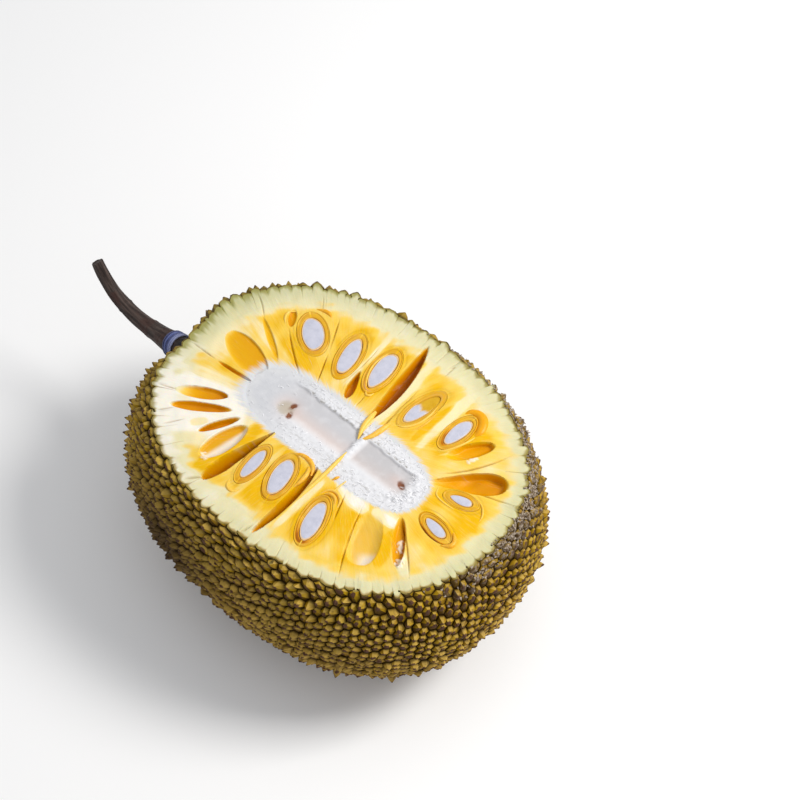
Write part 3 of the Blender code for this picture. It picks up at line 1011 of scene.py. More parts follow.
# Where the yellow ends, in millimetres inside the rim, for angles round the face.
YELLOW_ANGLES = (-180, -165, -140, -110, -95, -80, -65, -45, -25, 0, 25, 40, 60, 75, 90, 110, 130, 150, 180)
YELLOW_ENDS = (29, 20, 14, 16, 20, 17, 14, 12, 14, 16, 14, 11, 18, 21, 19, 22, 18, 23, 29)

# In millimetres: the farthest that the way to a hollow's outline is counted, and how far outside a steep
# outline the colours of the hollow begin, so that the outline itself is drawn by the material.
FAR = 3.0
LEAD = 0.9


def drop(way, width):
    """Share of the full depth at a way inside an edge: steep at the edge and level at the floor."""
    t = np.clip(way / width, 0, 1)
    return 1 - (1 - t) ** 2


def snap(x, y, reach):
    """Moves places close to a crevice or to a hollow's outline onto it, or onto a second line beside it."""
    for shape in CREVICES + HOLLOWS:
        along, across, half, left, _ = leaf(x, y, shape)
        hollow = "walls" in shape
        gap = np.abs(across) - half if hollow else across
        side = np.sign(across) if hollow else 1
        aim = np.where((gap < -reach) & (half > 3 * reach), -2 * reach, 0)
        near = (np.abs(gap - aim) < reach) & (np.abs(along) < LEAF_TIP)
        move = np.where(near, (aim - gap) * side, 0)
        x = x + move * left[0]
        y = y + move * left[1]
    return x, y


def ripeness(x, y, inset, angle):
    """How ripe the cut is, from white at -1 to deep yellow at 1, and how green."""
    ripe = 0.50 + 0.14 * ripple(x, y, 40, 5) + 0.08 * ripple(x, y, 15, 6)
    for wash in WASHES:
        along, across, half, _, _ = leaf(x, y, wash)
        ripe = ripe + wash["ripe"] * ease(np.abs(across) / half, 1.05, 0.35) * ease(np.abs(along), 1.0, 0.6)
    end = np.interp(np.degrees(angle), YELLOW_ANGLES, YELLOW_ENDS)
    end = end + 2.8 * ripple(x, y, 13, 9) + 0.5 * np.sin(angle * 51)
    within = ease(inset, end - 9, end + 7)
    white = np.interp(np.degrees(angle), RIM_ANGLES, WHITENESS)
    greenness = np.interp(np.degrees(angle), RIM_ANGLES, GREENNESS)
    green = greenness * ease(inset, 12 + 14 * greenness, 4)
    return np.clip(ripe, -1, 1) * within - 0.8 * white * (1 - within), green


def cut_relief(x, y):
    """Height of the cut and its masks at places on the face, in millimetres."""
    inset, angle = face_inset(x, y)
    height = 0.22 * ripple(x, y, 26, 3) + 0.12 * ripple(x, y, 9, 4)
    ripe, green = ripeness(x, y, inset, angle)
    glow = np.zeros_like(x)
    line = np.zeros_like(x)
    milk_and_highlight = np.zeros_like(x)
    tan = np.zeros_like(x)
    gap = np.full_like(x, -FAR)
    hollow = np.zeros_like(x)
    for h in HOLLOWS:
        along, across, half, _, length = leaf(x, y, h)
        within = half - np.abs(across)
        gap = np.maximum(gap, np.clip(np.where(np.abs(along) < 1, within, -FAR), -FAR, FAR))
        slope = np.where(across > 0, h["walls"][1], h["walls"][0])
        inside = np.where(within > 0.02, drop(within, np.minimum(slope, half)), 0)
        ends = drop((1 + along) * length / 2, h["ends"][0]) * drop((1 - along) * length / 2, h["ends"][1])
        inside = inside * ends
        lead = np.where(slope < 3, LEAD, 0.2)
        near = drop(np.maximum(within, 0) + lead, np.minimum(slope, half) + lead) * ends
        near = np.sqrt(near) * ease(within, -2 * LEAD, -LEAD) * (np.abs(along) < 1)
        height = height * (1 - inside) - h["depth"] * inside * (1 + 0.06 * ripple(x, y, 12, 8))
        side = np.clip(across / half, -1, 1)
        # Painted shade on the side of the hollow that dark names.
        shade = h["dark"][1] * np.clip(side * h["dark"][0], 0, 1)
        colour = np.where(within > 0, np.sqrt(inside), 0)
        level = np.interp(along, (-0.9, 0.9), h["glow"])
        hollow = np.maximum(hollow, near)
        glow = np.where(near > 0, glow * (1 - near) + near * np.clip(level + shade, 0, 1), glow)
        ripe = ripe * (1 - colour) + colour * h.get("ripe", 1.0)
        tan = np.maximum(tan, near * h.get("tan", 0.0))
        crisp = np.where(slope < 2, 1.0, 0.25) * ease(np.abs(along), 1.0, 0.9)
        rim = np.exp(-(((within + 0.9) / 0.7) ** 2)) * crisp
        height = height + 0.28 * rim * min(h["depth"], 4) / 4
        # White on one side of a wall: pale flesh, and on the pale oval hollow a painted highlight at its
        # outer end.
        if "milk_and_highlight" in h:
            low, high, start = h["milk_and_highlight"]
            wall = np.clip(2.6 * inside, 0, 1) * ease(side, low, high)
            milk_and_highlight = np.maximum(milk_and_highlight, 0.9 * wall * ease(along, start, start + 0.4))
    for shred in SHREDS:
        along, across, half, _, _ = leaf(x, y, shred)
        torn = np.abs(across) / half + 0.5 * ripple(x, y, 3, 12)
        patch = ease(torn, 1.1, 0.5) * ease(np.abs(along), 1, 0.7)
        milk_and_highlight = np.maximum(milk_and_highlight, 0.8 * patch)
        height = height + 0.8 * patch
    for c in CREVICES:
        along, across, half, _, _ = leaf(x, y, c)
        inside = ease(np.abs(across) / half, 1.15, 0.10) * ease(np.abs(along), 1.0, 0.3)
        height = height - 0.8 * c["depth"] * inside
        line = np.maximum(line, 0.75 * inside * (0.80 + 0.25 * ripple(x, y, 15, 21)))
    return height, {"ripe": ripe, "glow": glow, "line": line, "milk_and_highlight": milk_and_highlight, "tan": tan, "green": green,
                    "inset": inset * MM, "gap": gap, "hollow": hollow}


def strand_place(x, y):
    """Coordinates that run with the fibres: round the face twice over, and slowly inwards."""
    inset, angle = face_inset(x, y)
    return np.stack([0.12 * np.cos(angle), 0.12 * np.sin(angle), 0.12 * inset * MM], -1)


print("%d hollows, %d crevices, %d washes of colour" % (len(HOLLOWS), len(CREVICES), len(WASHES)))

# %% [markdown]
# ## The rind
# The rind is a pale ring between the skin and the flesh. It grows from the skin's own rim, so it keeps the
# ragged outline of the cut spines. A thin dark line runs in from every notch between two spines, where the
# bases of the spines meet.

# %% Rind mesh
SEAM_INSET = 0.017
RIND_ROWS = 16
RIND_THICKNESS = 0.006


def notches(depth, reach=9):
    """Columns where the rim is farthest inside for a stretch on both sides."""
    windows = np.stack([np.roll(depth, k) for k in range(-reach, reach + 1)])
    return np.flatnonzero((depth >= windows.max(0)) & (depth > depth.mean()))


def rind_rings():
    """Rings of points on the cut from the skin's edge to the flesh's seam, and the share of the way in."""
    outer = RIM + INWARD * EDGE_WIDTH
    seam = body_surface(CUT_DOWN, COLUMN_ANGLES, inset=SEAM_INSET, dimple=False)
    share = np.linspace(0, 1, RIND_ROWS) ** 1.2
    return outer + (seam - outer) * share[:, None, None], share


def rind_piece(material):
    """The rind band: its cut top with lines from the notches, closed below."""
    rings, share = rind_rings()
    columns = rings.shape[1]
    rel = (rings - FACE) / MM
    rel[2:-1, :, 0], rel[2:-1, :, 1] = snap(rel[2:-1, :, 0], rel[2:-1, :, 1], 0.25)
    rings[..., :2] = rel[..., :2] * MM + FACE[:2]
    height, masks = cut_relief(rel[..., 0], rel[..., 1])
    rng = np.random.default_rng(5)
    arc = np.cumsum(np.linalg.norm(np.roll(OUTLINE, -1, 0) - OUTLINE, axis=1))
    turn = np.degrees(face_inset(rel[0, :, 0], rel[0, :, 1])[1])
    way = np.linalg.norm(rel - rel[:1], axis=2)
    olive = np.interp(turn, RIM_ANGLES, OLIVE_EDGES)
    groove = np.zeros((RIND_ROWS, columns))
    for notch in notches(RIM_DEPTH):
        off = np.abs(arc - arc[notch])
        off = np.minimum(off, arc[-1] - off) / MM
        run = rng.uniform(3, 7) + rng.uniform(0, 18) * (rng.random() < 0.3)
        fade = np.clip(1 - way / run, 0, 1) ** 0.8
        wide = 0.35 + (0.5 + 0.8 * olive[notch]) * np.clip(1 - way / 4.5, 0, 1)
        groove = np.maximum(groove, np.exp(-((off[None] / wide) ** 2)) * fade * rng.uniform(0.5, 1.0))
    soft = ease(share, 0.0, 0.12)[:, None]
    rings[..., 2] += (height * soft - 0.6 * groove * soft) * MM
    rings[0, :, 2] = FACE[2]
    masks["line"] = np.maximum(masks["line"] * soft, groove * 0.8)
    wave = 1 + 0.4 * np.sin(arc * 640 + 1.5 * np.sin(arc * 90)) + 0.2 * np.sin(arc * 1700)
    masks["edge"] = np.exp(-((way / (np.interp(turn, RIM_ANGLES, EDGE_WIDTHS) * wave)) ** 1.5))
    masks["olive"] = olive[None] * np.ones_like(way)
    masks["strand"] = strand_place(rel[..., 0], rel[..., 1])
    low = np.stack([rings[-1], rings[0]])
    low[..., 2] = FACE[2] - RIND_THICKNESS
    points = np.concatenate([rings, low]).reshape(-1, 3)
    faces = rings_to_faces(RIND_ROWS + 2, columns)
    closing = rings_to_faces(2, columns)
    closing = np.where(closing >= columns, closing - columns, closing + (RIND_ROWS + 1) * columns)
    whole = {}
    for key, values in masks.items():
        whole[key] = np.concatenate([values, values[-1:], values[:1]]).reshape(-1, *values.shape[2:])
    return make_mesh(points, np.concatenate([faces, closing]), material, whole), rings[-1]


print("lines run in from %d notches" % len(notches(RIM_DEPTH)))


# %% Material of the cut
def paint_cut(material):
    """Pale rind that turns into ripe flesh, streaked along its fibres, with orange hollows and dark lines."""
    tree, shader, place = open_material(material)
    strand = node(tree, "ShaderNodeAttribute", attribute_name="strand").outputs["Vector"]
    streak = noise(tree, strand, 420.0, 3.0)
    thread = noise(tree, strand, 800.0, 2.0)
    broad = noise(tree, strand, 110.0, 2.0)
    blotch = noise(tree, place, 90.0)
    inset = mask(tree, "inset")
    ripe = stray(tree, mask(tree, "ripe"), broad, 0.55)
    ripe = stray(tree, ripe, streak, 0.30)
    cream = mix(tree, streak, (0.72, 0.65, 0.35), (0.80, 0.75, 0.50))
    cream = mix(tree, ramp(tree, inset, 0.014, 0.034), cream, (0.88, 0.75, 0.42))
    cream = mix(tree, ramp(tree, ripe, -0.15, -0.70), cream, (0.88, 0.84, 0.74))
    green = mix(tree, mask(tree, "green"), cream, mix(tree, blotch, (0.46, 0.45, 0.21), (0.60, 0.60, 0.38)))
    flesh = mix(tree, ramp(tree, ripe, 0.02, 0.55), green, (0.86, 0.575, 0.085))
    flesh = mix(tree, ramp(tree, ripe, 0.50, 0.95), flesh, (0.80, 0.45, 0.0))
    flesh = mix(tree, ramp(tree, thread, 0.48, 0.72, 0.0, 0.10), flesh, (0.90, 0.74, 0.36))
    gap = mask(tree, "gap")
    hollow = times(tree, mask(tree, "hollow"), ramp(tree, gap, 0.0, 0.45))
    glow = times(tree, mask(tree, "glow"), hollow)
    # The orange of a hollow deepens to dark brown, partly the flesh's own colour and partly painted shade.
    deep = mix(tree, ramp(tree, glow, 0.0, 0.35), flesh, (0.74, 0.34, 0.0))
    deep = mix(tree, ramp(tree, glow, 0.30, 0.70), deep, (0.60, 0.21, 0.0))
    deep = mix(tree, ramp(tree, glow, 0.65, 1.0), deep, (0.34, 0.09, 0.0))
    deep = mix(tree, times(tree, mask(tree, "tan"), hollow), deep, (0.65, 0.34, 0.030))
    # White walls: pale flesh and a painted highlight.
    deep = mix(tree, mask(tree, "milk_and_highlight"), deep, (0.86, 0.78, 0.66))
    pith = stray(tree, mask(tree, "pith"), streak, 1.1)
    deep = mix(tree, ramp(tree, pith, 0.10, 0.75), deep, (0.67, 0.675, 0.69))
    lining = mix(tree, mask(tree, "green"), (0.30, 0.14, 0.004), (0.20, 0.19, 0.035))
    outline = ramp(tree, calc(tree, "ABSOLUTE", gap), 0.45, 0.05, 0.0, 0.40)
    outline = times(tree, outline, mask(tree, "hollow"))
    line = calc(tree, "MAXIMUM", mask(tree, "line"), outline)
    lined = mix(tree, times(tree, line, 0.75), deep, lining)
    stain = mix(tree, mask(tree, "olive"), (0.34, 0.19, 0.030), (0.29, 0.27, 0.060))
    edge = stray(tree, mask(tree, "edge"), blotch, 0.5)
    stained = mix(tree, ramp(tree, edge, 0.15, 0.95, 0.0, 0.85), lined, stain)
    dress(tree, shader, stained, ramp(tree, blotch, 0.3, 0.7, 0.28, 0.45), 0.16)
    soften(shader, 0.12, (0.004, 0.002, 0.0008))
    grain = times(tree, noise(tree, place, 600.0), 0.4)
    bump(tree, shader, calc(tree, "MULTIPLY_ADD", streak, 0.6, grain), 0.0006, 0.5)


rind_material = bpy.data.materials.new("cut rind")
paint_cut(rind_material)
rind_mesh, SEAM = rind_piece(rind_material)
finish_piece(rind_mesh, "cut_rind", ["rind"])

# %% [markdown]
# ## The flesh
# From the seam the same columns run on to the core. The flesh dips under the core and comes back round the
# outside, as one closed bowl. Where a bulb sits, the surface drops out of its way.

# %% Bulb and seed places
def place_of(name):
    """Middle, half length, half width and direction of a node's outline on the cut, in mm and radians."""
    cad = frame["nodes"][name]
    points = np.array([cad.matrix_world @ v.co for v in cad.data.vertices])
    flat = (points[points[:, 2] > points[:, 2].max() - 0.0006] - FACE)[:, :2] / MM
    axis = np.linalg.eigh(np.cov((flat - flat.mean(0)).T))[1][:, 1]
    axis = axis * np.sign(axis @ ((flat.max(0) + flat.min(0)) / 2))
    side = np.array([-axis[1], axis[0]])
    along = flat @ axis
    across = flat @ side
    middle = (along.max() + along.min()) / 2 * axis + (across.max() + across.min()) / 2 * side
    return {"middle": middle, "half_length": np.ptp(along) / 2, "half_width": np.ptp(across) / 2,
            "direction": math.atan2(axis[1], axis[0])}


BULBS = {name: place_of(name) for name in sorted(frame["nodes"]) if name.startswith("bulb")}
SEEDS = {name: place_of(name) for name in sorted(frame["nodes"]) if name.startswith("seed")}
for name, place in list(BULBS.items())[:3]:
    print(name, np.round(place["middle"], 1), round(place["half_length"], 1), round(place["half_width"], 1))


def oval_reach(x, y, place, grow=0.0):
    """How far out a place lies in an oval outline, 1 on the outline, and its angle there."""
    dx, dy = x - place["middle"][0], y - place["middle"][1]
    c, s = math.cos(place["direction"]), math.sin(place["direction"])
    along = (dx * c + dy * s) / (place["half_length"] + grow)
    across = (dy * c - dx * s) / (place["half_width"] + grow)
    return np.hypot(along, across), np.arctan2(across, along)


# %% Flesh mesh
FLESH_ROWS = 58
CORE_REACH = (0.0795, 0.026)
CORE_SQUARENESS = 3.2
BULB_PIT = 9.0
CORE_PIT = 0.026
# How far white pith runs from the core into the flesh, in millimetres, for angles round the face in degrees.
PITH_ANGLES = (-180, -150, -100, -60, 0, 60, 120, 160, 180)
PITH_REACH = (15, 13, 5, 5, 7, 8, 9, 14, 15)

# Faint lines that echo a bulb's outline: bulb, distance outside it, middle and half spread of its angles,
# strength.
CONTOURS = [
    ("bulb_01", 2.5, 90, 80, 0.5), ("bulb_02", 2.2, 10, 90, 0.6), ("bulb_03", 2.4, -30, 100, 0.7),
    ("bulb_04", 2.0, 60, 110, 0.6), ("bulb_05", 2.2, -120, 80, 0.6), ("bulb_06", 2.0, 0, 120, 0.6),
    ("bulb_07", 2.0, 100, 90, 0.6), ("bulb_08", 3.0, 0, 140, 0.5), ("bulb_09", 2.0, 60, 100, 0.5),
    ("bulb_10", 2.0, -60, 100, 0.6),
]


def core_outline(angle, grow=0.0):
    """Outline of the core for angles round the face."""
    c, s = np.cos(angle), np.sin(angle)
    reach = (np.abs(c) ** CORE_SQUARENESS + np.abs(s) ** CORE_SQUARENESS) ** (-1 / CORE_SQUARENESS)
    x = (CORE_REACH[0] + grow) * reach * c + CORE_MIDDLE[0]
    y = (CORE_REACH[1] + grow) * reach * s + CORE_MIDDLE[1]
    return np.stack([x + FACE[0], y + FACE[1], np.full_like(x, FACE[2])], -1)


def flesh_piece(material):
    """The flesh from the seam to the core, its pit under the core and its outside, as one closed bowl."""
    angle = COLUMN_ANGLES
    inner = core_outline(angle, grow=-0.0018)
    share = np.linspace(0, 1, FLESH_ROWS)[:, None, None]
    top = SEAM + (inner - SEAM) * share
    rel = (top - FACE) / MM
    x, y = rel[..., 0], rel[..., 1]
    x[1:-1], y[1:-1] = snap(x[1:-1], y[1:-1], 0.27)
    for place in BULBS.values():
        reach, _ = oval_reach(x, y, place)
        near = np.abs(reach - 1) * place["half_width"] < 0.5
        near[[0, -1]] = False
        x = np.where(near, place["middle"][0] + (x - place["middle"][0]) / reach, x)
        y = np.where(near, place["middle"][1] + (y - place["middle"][1]) / reach, y)
    height, masks = cut_relief(x, y)
    for place in BULBS.values():
        reach, _ = oval_reach(x, y, place)
        height = np.where(reach < 1.35, height * ease(reach, 1.0, 1.35), height)
        height = height - BULB_PIT * drop(1 - reach, 0.12)
    to_core = np.linalg.norm(rel[..., :2] - rel[-1:, :, :2], axis=2)
    height = height * ease(to_core, 1.0, 5.0) - 0.1 * ease(to_core, 5.0, 1.0)
    for name, grow_by, middle_angle, spread_angle, strength in CONTOURS:
        reach, turn = oval_reach(x, y, BULBS[name], grow_by)
        gap = (reach - 1) * (BULBS[name]["half_width"] + grow_by)
        off = np.degrees(np.abs(np.angle(np.exp(1j * (turn - math.radians(middle_angle))))))
        faint = strength * ease(off, spread_angle, spread_angle * 0.6) * np.exp(-((gap / 0.45) ** 2))
        faint = np.where(masks["glow"] > 0.1, 0, faint)
        height = height - 0.5 * faint
        masks["line"] = np.maximum(masks["line"], 0.42 * faint)
    reach = np.interp(np.degrees(angle), PITH_ANGLES, PITH_REACH)
    masks["pith"] = np.clip(1.1 - to_core / reach, 0, 1) * (masks["glow"] < 0.5)
    top[..., 0] = x * MM + FACE[0]
    top[..., 1] = y * MM + FACE[1]
    top[1:, :, 2] = FACE[2] + height[1:] * MM
    masks["strand"] = strand_place(x, y)
    pit = []
    for narrower, deeper in ((0, 0.3), (0.003, 0.8), (0.014, 1.0)):
        pit.append(core_outline(angle, grow=-narrower) - [0, 0, deeper * CORE_PIT])
    outside = [body_surface(down, angle, inset=0.0185) for down in (1.35, 1.0, 0.6, 0.2, -0.2)]
    outside.append(body_surface(CUT_DOWN, angle, inset=SEAM_INSET, dimple=False) - [0, 0, RIND_THICKNESS])
    points, faces = stack_rings(np.concatenate([outside, top, pit]))
    return make_mesh(points, faces, material, carry_masks(masks, x.shape, len(outside), len(pit)))


flesh_material = bpy.data.materials.new("ripe flesh")
paint_cut(flesh_material)
finish_piece(flesh_piece(flesh_material), "cut_flesh", ["flesh"])

# %% [markdown]
# ## The opened bulbs
# A bulb is a fleshy sleeve round a seed. Cut through, it is an oval ring with a soft lip inside, a fold in
# the middle of its wall and a rounded outer edge. Each ring here is a set of ovals that change from the
# seed's outline to the bulb's, so one rule fits every bulb, and a few numbers for each give it its own
# folds and ripeness.

# %% Bulb rings
BULB_COLUMNS = 120
SEED_GAP = 0.22
# Shares of the way across a bulb's wall, from the seed outwards, and the heights there.
RING_PROFILE = (
    (0.0, -0.45), (0.05, -0.05), (0.16, 0.30), (0.40, 0.25), (0.60, 0.05),
    (0.67, -0.15), (0.73, 0.25), (0.84, 0.45), (0.94, 0.25), (1.0, -0.15),
)
RING_ROWS = 30
# Angles are in degrees from a bulb's outer end. Wide is where the inner part of its wall is widest, and lip
# how proud the wall stands. Glow is how orange the outer part is. Folds and fold side say how many ridges
# run along which side. Dark gives the angle, the share of the wall and the depth of a shaded stretch. Film
# is how far, in radians to each side of the outer end, a tan film still covers the wall.
BULB_LOOKS = {
    "bulb_01": dict(wide=-40, lip=0.8, glow=0.10, folds=0, fold_side=0, dark=(170, 0.15, 0.45)),
    "bulb_02": dict(wide=0, lip=1.0, glow=0.16, folds=0, fold_side=0, dark=(180, 0.2, 0.4)),
    "bulb_03": dict(wide=60, lip=1.0, glow=0.16, folds=2, fold_side=160, dark=(150, 0.2, 0.45)),
    "bulb_04": dict(wide=0, lip=0.4, glow=0.14, folds=1, fold_side=-150, dark=(0, 0.1, 0.0), film=1.4),
    "bulb_05": dict(wide=180, lip=1.2, glow=0.25, folds=2, fold_side=-120, dark=(150, 0.1, 0.9)),
    "bulb_06": dict(wide=90, lip=0.8, glow=0.12, folds=1, fold_side=0, dark=(90, 0.3, 0.35)),
    "bulb_07": dict(wide=0, lip=1.3, glow=0.34, folds=1, fold_side=-60, dark=(-80, 0.97, 1.0)),
    "bulb_08": dict(wide=-90, lip=1.1, glow=0.15, folds=2, fold_side=-120, dark=(-14, 0.32, 1.0)),
    "bulb_09": dict(wide=180, lip=1.2, glow=0.25, folds=1, fold_side=0, dark=(40, 0.12, 0.5)),
    "bulb_10": dict(wide=0, lip=0.9, glow=0.15, folds=2, fold_side=80, dark=(30, 0.3, 0.5)),
}
# How much wider than their bulb's or their own outline, and how high, the rings of a bulb's hidden walls are.
SEED_POCKET = ((-2.4, -6.4), (-1.0, -5.0), (-0.1, -3.0))
BULB_OUTSIDE = ((-0.35, -4.0), (-1.2, -6.5), (-3.2, -8.4))
# How much fuller a seed is towards its outer end.
SEED_EGGS = {"seed_03": 0.22, "seed_08": 0.12, "seed_05": 0.10, "seed_06": 0.18, "seed_07": 0.15}


def oval(place, angle, grow=0.0):
    """Points of an oval outline, in millimetres from the middle of the face."""
    c, s = math.cos(place["direction"]), math.sin(place["direction"])
    along = (place["half_length"] + grow) * np.cos(angle)
    across = (place["half_width"] + grow) * np.sin(angle) * (1 + place.get("egg", 0) * np.cos(angle))
    x = place["middle"][0] + along * c - across * s
    y = place["middle"][1] + along * s + across * c
    return np.stack([x, y], -1)


def bulb_piece(name, bulb, seed, material):
    """One bulb: the pocket of its seed, the cut ring and its round outside."""
    looks = BULB_LOOKS[name]
    angle = np.linspace(0, 2 * math.pi, BULB_COLUMNS, endpoint=False)
    inner = oval(seed, angle, SEED_GAP)
    outer = oval(bulb, angle, -0.3)
    share = np.linspace(0, 1, RING_ROWS)
    flat = inner + (outer - inner) * share[:, None, None]
    ring_width = np.linalg.norm(outer - inner, axis=1)
    bite = ripple(flat[..., 0], flat[..., 1], 11, 21)
    rows = share[:, None] * (1 - 0.16 * np.cos(angle - math.radians(looks["wide"]))) + 0.05 * bite
    fold_side = np.clip(0.3 + np.cos(angle - math.radians(looks["fold_side"])), 0, 1)[None]
    fold = fold_side * np.cos(2 * math.pi * (looks["folds"] + 0.5) * rows) * (looks["folds"] > 0)
    height = (np.interp(rows, *zip(*RING_PROFILE)) + 0.2 * fold * ease(rows, 0.1, 0.3)) * looks["lip"]
    height = np.minimum(height + 0.25 * bite * np.sin(math.pi * share)[:, None], 1.4)
    top = np.concatenate([flat, height[..., None]], -1)
    below = [level_ring(oval(bulb, angle, grow), depth) for grow, depth in BULB_OUTSIDE]
    pocket = [level_ring(oval(seed, angle, grow), depth) for grow, depth in SEED_POCKET]
    points, faces = stack_rings(np.concatenate([pocket, top, below])[::-1])
    away = np.abs(np.angle(np.exp(1j * (angle - math.radians(looks["dark"][0])))))[None]
    shade = looks["dark"][2] * ease(away, 1.3, 0.3) * ease(np.abs(rows - looks["dark"][1]), 0.40, 0.18)
    coat = ease(rows, 0.76, 0.60)
    off_end = np.abs(np.angle(np.exp(1j * angle)))[None]
    filmed = ease(off_end, looks.get("film", 0), 0.5 * looks.get("film", 0)) * ease(rows, 1.0, 0.85)
    coat = np.maximum(coat, filmed)
    glow = looks["glow"] * (1 - coat)
    glow = np.clip(np.maximum(glow, shade), 0, 1)
    coat = np.clip(coat * (0.8 + 0.3 * bite) - shade, 0, 1)
    ticks = 0.5 + 0.5 * ripple(flat[..., 0], flat[..., 1], 16, 23)
    # The faint dark line next to the seed is painted shade in the gap round it.
    line = 0.12 * np.exp(-((rows / 0.05) ** 2)) + 0.45 * ticks * np.exp(-(((rows - 0.67) / 0.035) ** 2))
    line = line + 0.25 * ease(-fold, 0.55, 0.95) * ease(rows, 0.15, 0.30)
    line = line + 0.20 * (1 - ticks) * np.exp(-(((share[:, None] - 1.0) / 0.06) ** 2))
    line = np.maximum(line, shade * 0.4) * (1 - filmed)
    strand = np.concatenate([flat * 0.1 * MM, (share[:, None] * ring_width * MM)[..., None]], -1)

    ripe = 0.82 + 0.22 * ripple(flat[..., 0], flat[..., 1], 14, 25)
    masks = {"ripe": ripe, "glow": glow, "line": np.clip(line, 0, 1), "tan": 0.12 + 0.68 * coat}
    masks |= {"strand": strand, "gap": FAR, "hollow": 1.0}
    masks = carry_masks(masks, rows.shape, len(pocket), len(below), flip=True)
    return make_mesh(points * MM + FACE, faces, material, masks)


bulb_material = bpy.data.materials.new("bulb wall")
paint_cut(bulb_material)
for bulb_name, seed_name in zip(BULBS, SEEDS):
    SEEDS[seed_name]["egg"] = SEED_EGGS.get(seed_name, 0)
    bulb_mesh = bulb_piece(bulb_name, BULBS[bulb_name], SEEDS[seed_name], bulb_material)
    finish_piece(bulb_mesh, bulb_name + "_ring", [bulb_name])

# %% [markdown]
# ## The seeds
# A cut seed is a hard bluish-white kernel in a thin brown coat. The knife leaves it nearly flat, a little
# proud of the soft ring around it, with faint veins.

# %% Seeds
SEED_COLUMNS = 96
SEED_SHARES = np.array([0.04, 0.2, 0.4, 0.6, 0.75, 0.85, 0.89, 0.905, 0.92, 0.935, 0.955, 0.98, 1.0])
SEED_PROFILE = (
    (0.0, 0.35), (0.5, 0.33), (0.8, 0.22), (0.88, 0.12),
    (0.915, 0.0), (0.94, 0.22), (0.975, 0.2), (1.0, -0.25),
)
SEED_UNDERSIDE = ((0.97, -1.5), (0.85, -3.4), (0.55, -5.0), (0.2, -5.7))
COAT_START, COAT_END = 0.895, 0.93


def torn_film(points, seed):
    """Where an amber film still covers a kernel: its outer half, with a torn edge."""
    offset = points[:, :2] - seed["middle"]
    heading = np.array([math.cos(seed["direction"]), math.sin(seed["direction"])])
    along = offset @ heading + 1.1 * np.sin(offset[:, 0] * 0.9 + 1) + 0.4 * np.sin(offset[:, 0] * 2.1)
    return ease(along, -2.0, 2.5)


def seed_piece(seed, material, number):
    """One cut seed: kernel, rim of the coat and round underside."""
    angle = np.linspace(0, 2 * math.pi, SEED_COLUMNS, endpoint=False)
    edge = oval(seed, angle) - seed["middle"]
    wobble = 1 + 0.018 * np.sin(angle * 3 + number) + 0.012 * np.sin(angle * 5 + 2 * number)
    rings = []
    for share in SEED_SHARES:
        flat = seed["middle"] + edge * (share * wobble)[:, None]
        waves = 0.06 * ripple(flat[:, 0], flat[:, 1], 9, 30 + number) * (share < 0.9)
        height = np.interp(share, *zip(*SEED_PROFILE)) + waves
        rings.append(np.concatenate([flat, height[:, None]], -1))
    for share, depth in SEED_UNDERSIDE:
        rings.append(level_ring(seed["middle"] + edge * share, depth))
    points, faces = stack_rings(rings[::-1])
    coat = np.append(ease(SEED_SHARES, COAT_START, COAT_END), [1.0] * len(SEED_UNDERSIDE))
    coat = np.repeat(coat[::-1], SEED_COLUMNS)
    film = torn_film(points, seed) if seed.get("film") else np.zeros(len(points))
    points[:, 2] -= 0.9 * film * (points[:, 2] > -1)
    coat = np.concatenate([coat, [1.0, 0.0]]) * (1 - film)
    return make_mesh(points * MM + FACE, faces, material, {"coat": coat, "film": film})


def paint_seed(material):
    """Bluish-white kernel with faint veins in a thin tan coat."""
    tree, shader, place = open_material(material)
    veins = noise(tree, place, 240.0, 5.0)
    kernel = mix(tree, ramp(tree, veins, 0.3, 0.7), (0.51, 0.52, 0.615), (0.575, 0.58, 0.675))
    patches = times(tree, blotches(tree, place, 420.0, 0.30, 0.05), 0.08)
    kernel = mix(tree, patches, kernel, (0.6, 0.56, 0.5))
    kernel = mix(tree, mask(tree, "film"), kernel, mix(tree, veins, (0.56, 0.30, 0.0), (0.70, 0.42, 0.02)))
    coat = mix(tree, noise(tree, place, 500.0), (0.62, 0.38, 0.14), (0.84, 0.64, 0.42))
    colour = mix(tree, mask(tree, "coat"), kernel, coat)
    dress(tree, shader, colour, ramp(tree, veins, 0.3, 0.7, 0.25, 0.42), 0.3)
    soften(shader, 0.15, (0.002, 0.002, 0.002))
    bump(tree, shader, veins, 0.0004, 0.3)


seed_material = bpy.data.materials.new("seed")
paint_seed(seed_material)
SEEDS["seed_04"]["film"] = True
for number, (name, seed) in enumerate(SEEDS.items()):
    finish_piece(seed_piece(seed, seed_material, number), name + "_kernel", [name])

# %% [markdown]
# ## The core
# The white core runs the length of the face. Its middle is smooth and faintly pink, in two halves with a
# ridge of fibre between them. Round that it is spongy and ragged where the strands of the flesh leave it.

# %% Core mesh
def from_middle(tree, place, axis):
    """Distance of a place from the middle of the face along an axis."""
    separate = node(tree, "ShaderNodeSeparateXYZ", {0: place}).outputs[axis]
    return calc(tree, "SUBTRACT", separate, float(FACE[axis]))


CORE_COLUMNS = 640
CORE_ROWS = 46
CORE_LINE = 52.0
CORE_DEPTH = 0.024
# Shares of the outline and depths in millimetres of the rings under the core.
CORE_UNDERSIDE = ((0.995, -2.0), (0.97, -5.0), (0.75, -CORE_DEPTH * 0.6 / MM), (0.3, -CORE_DEPTH / MM))


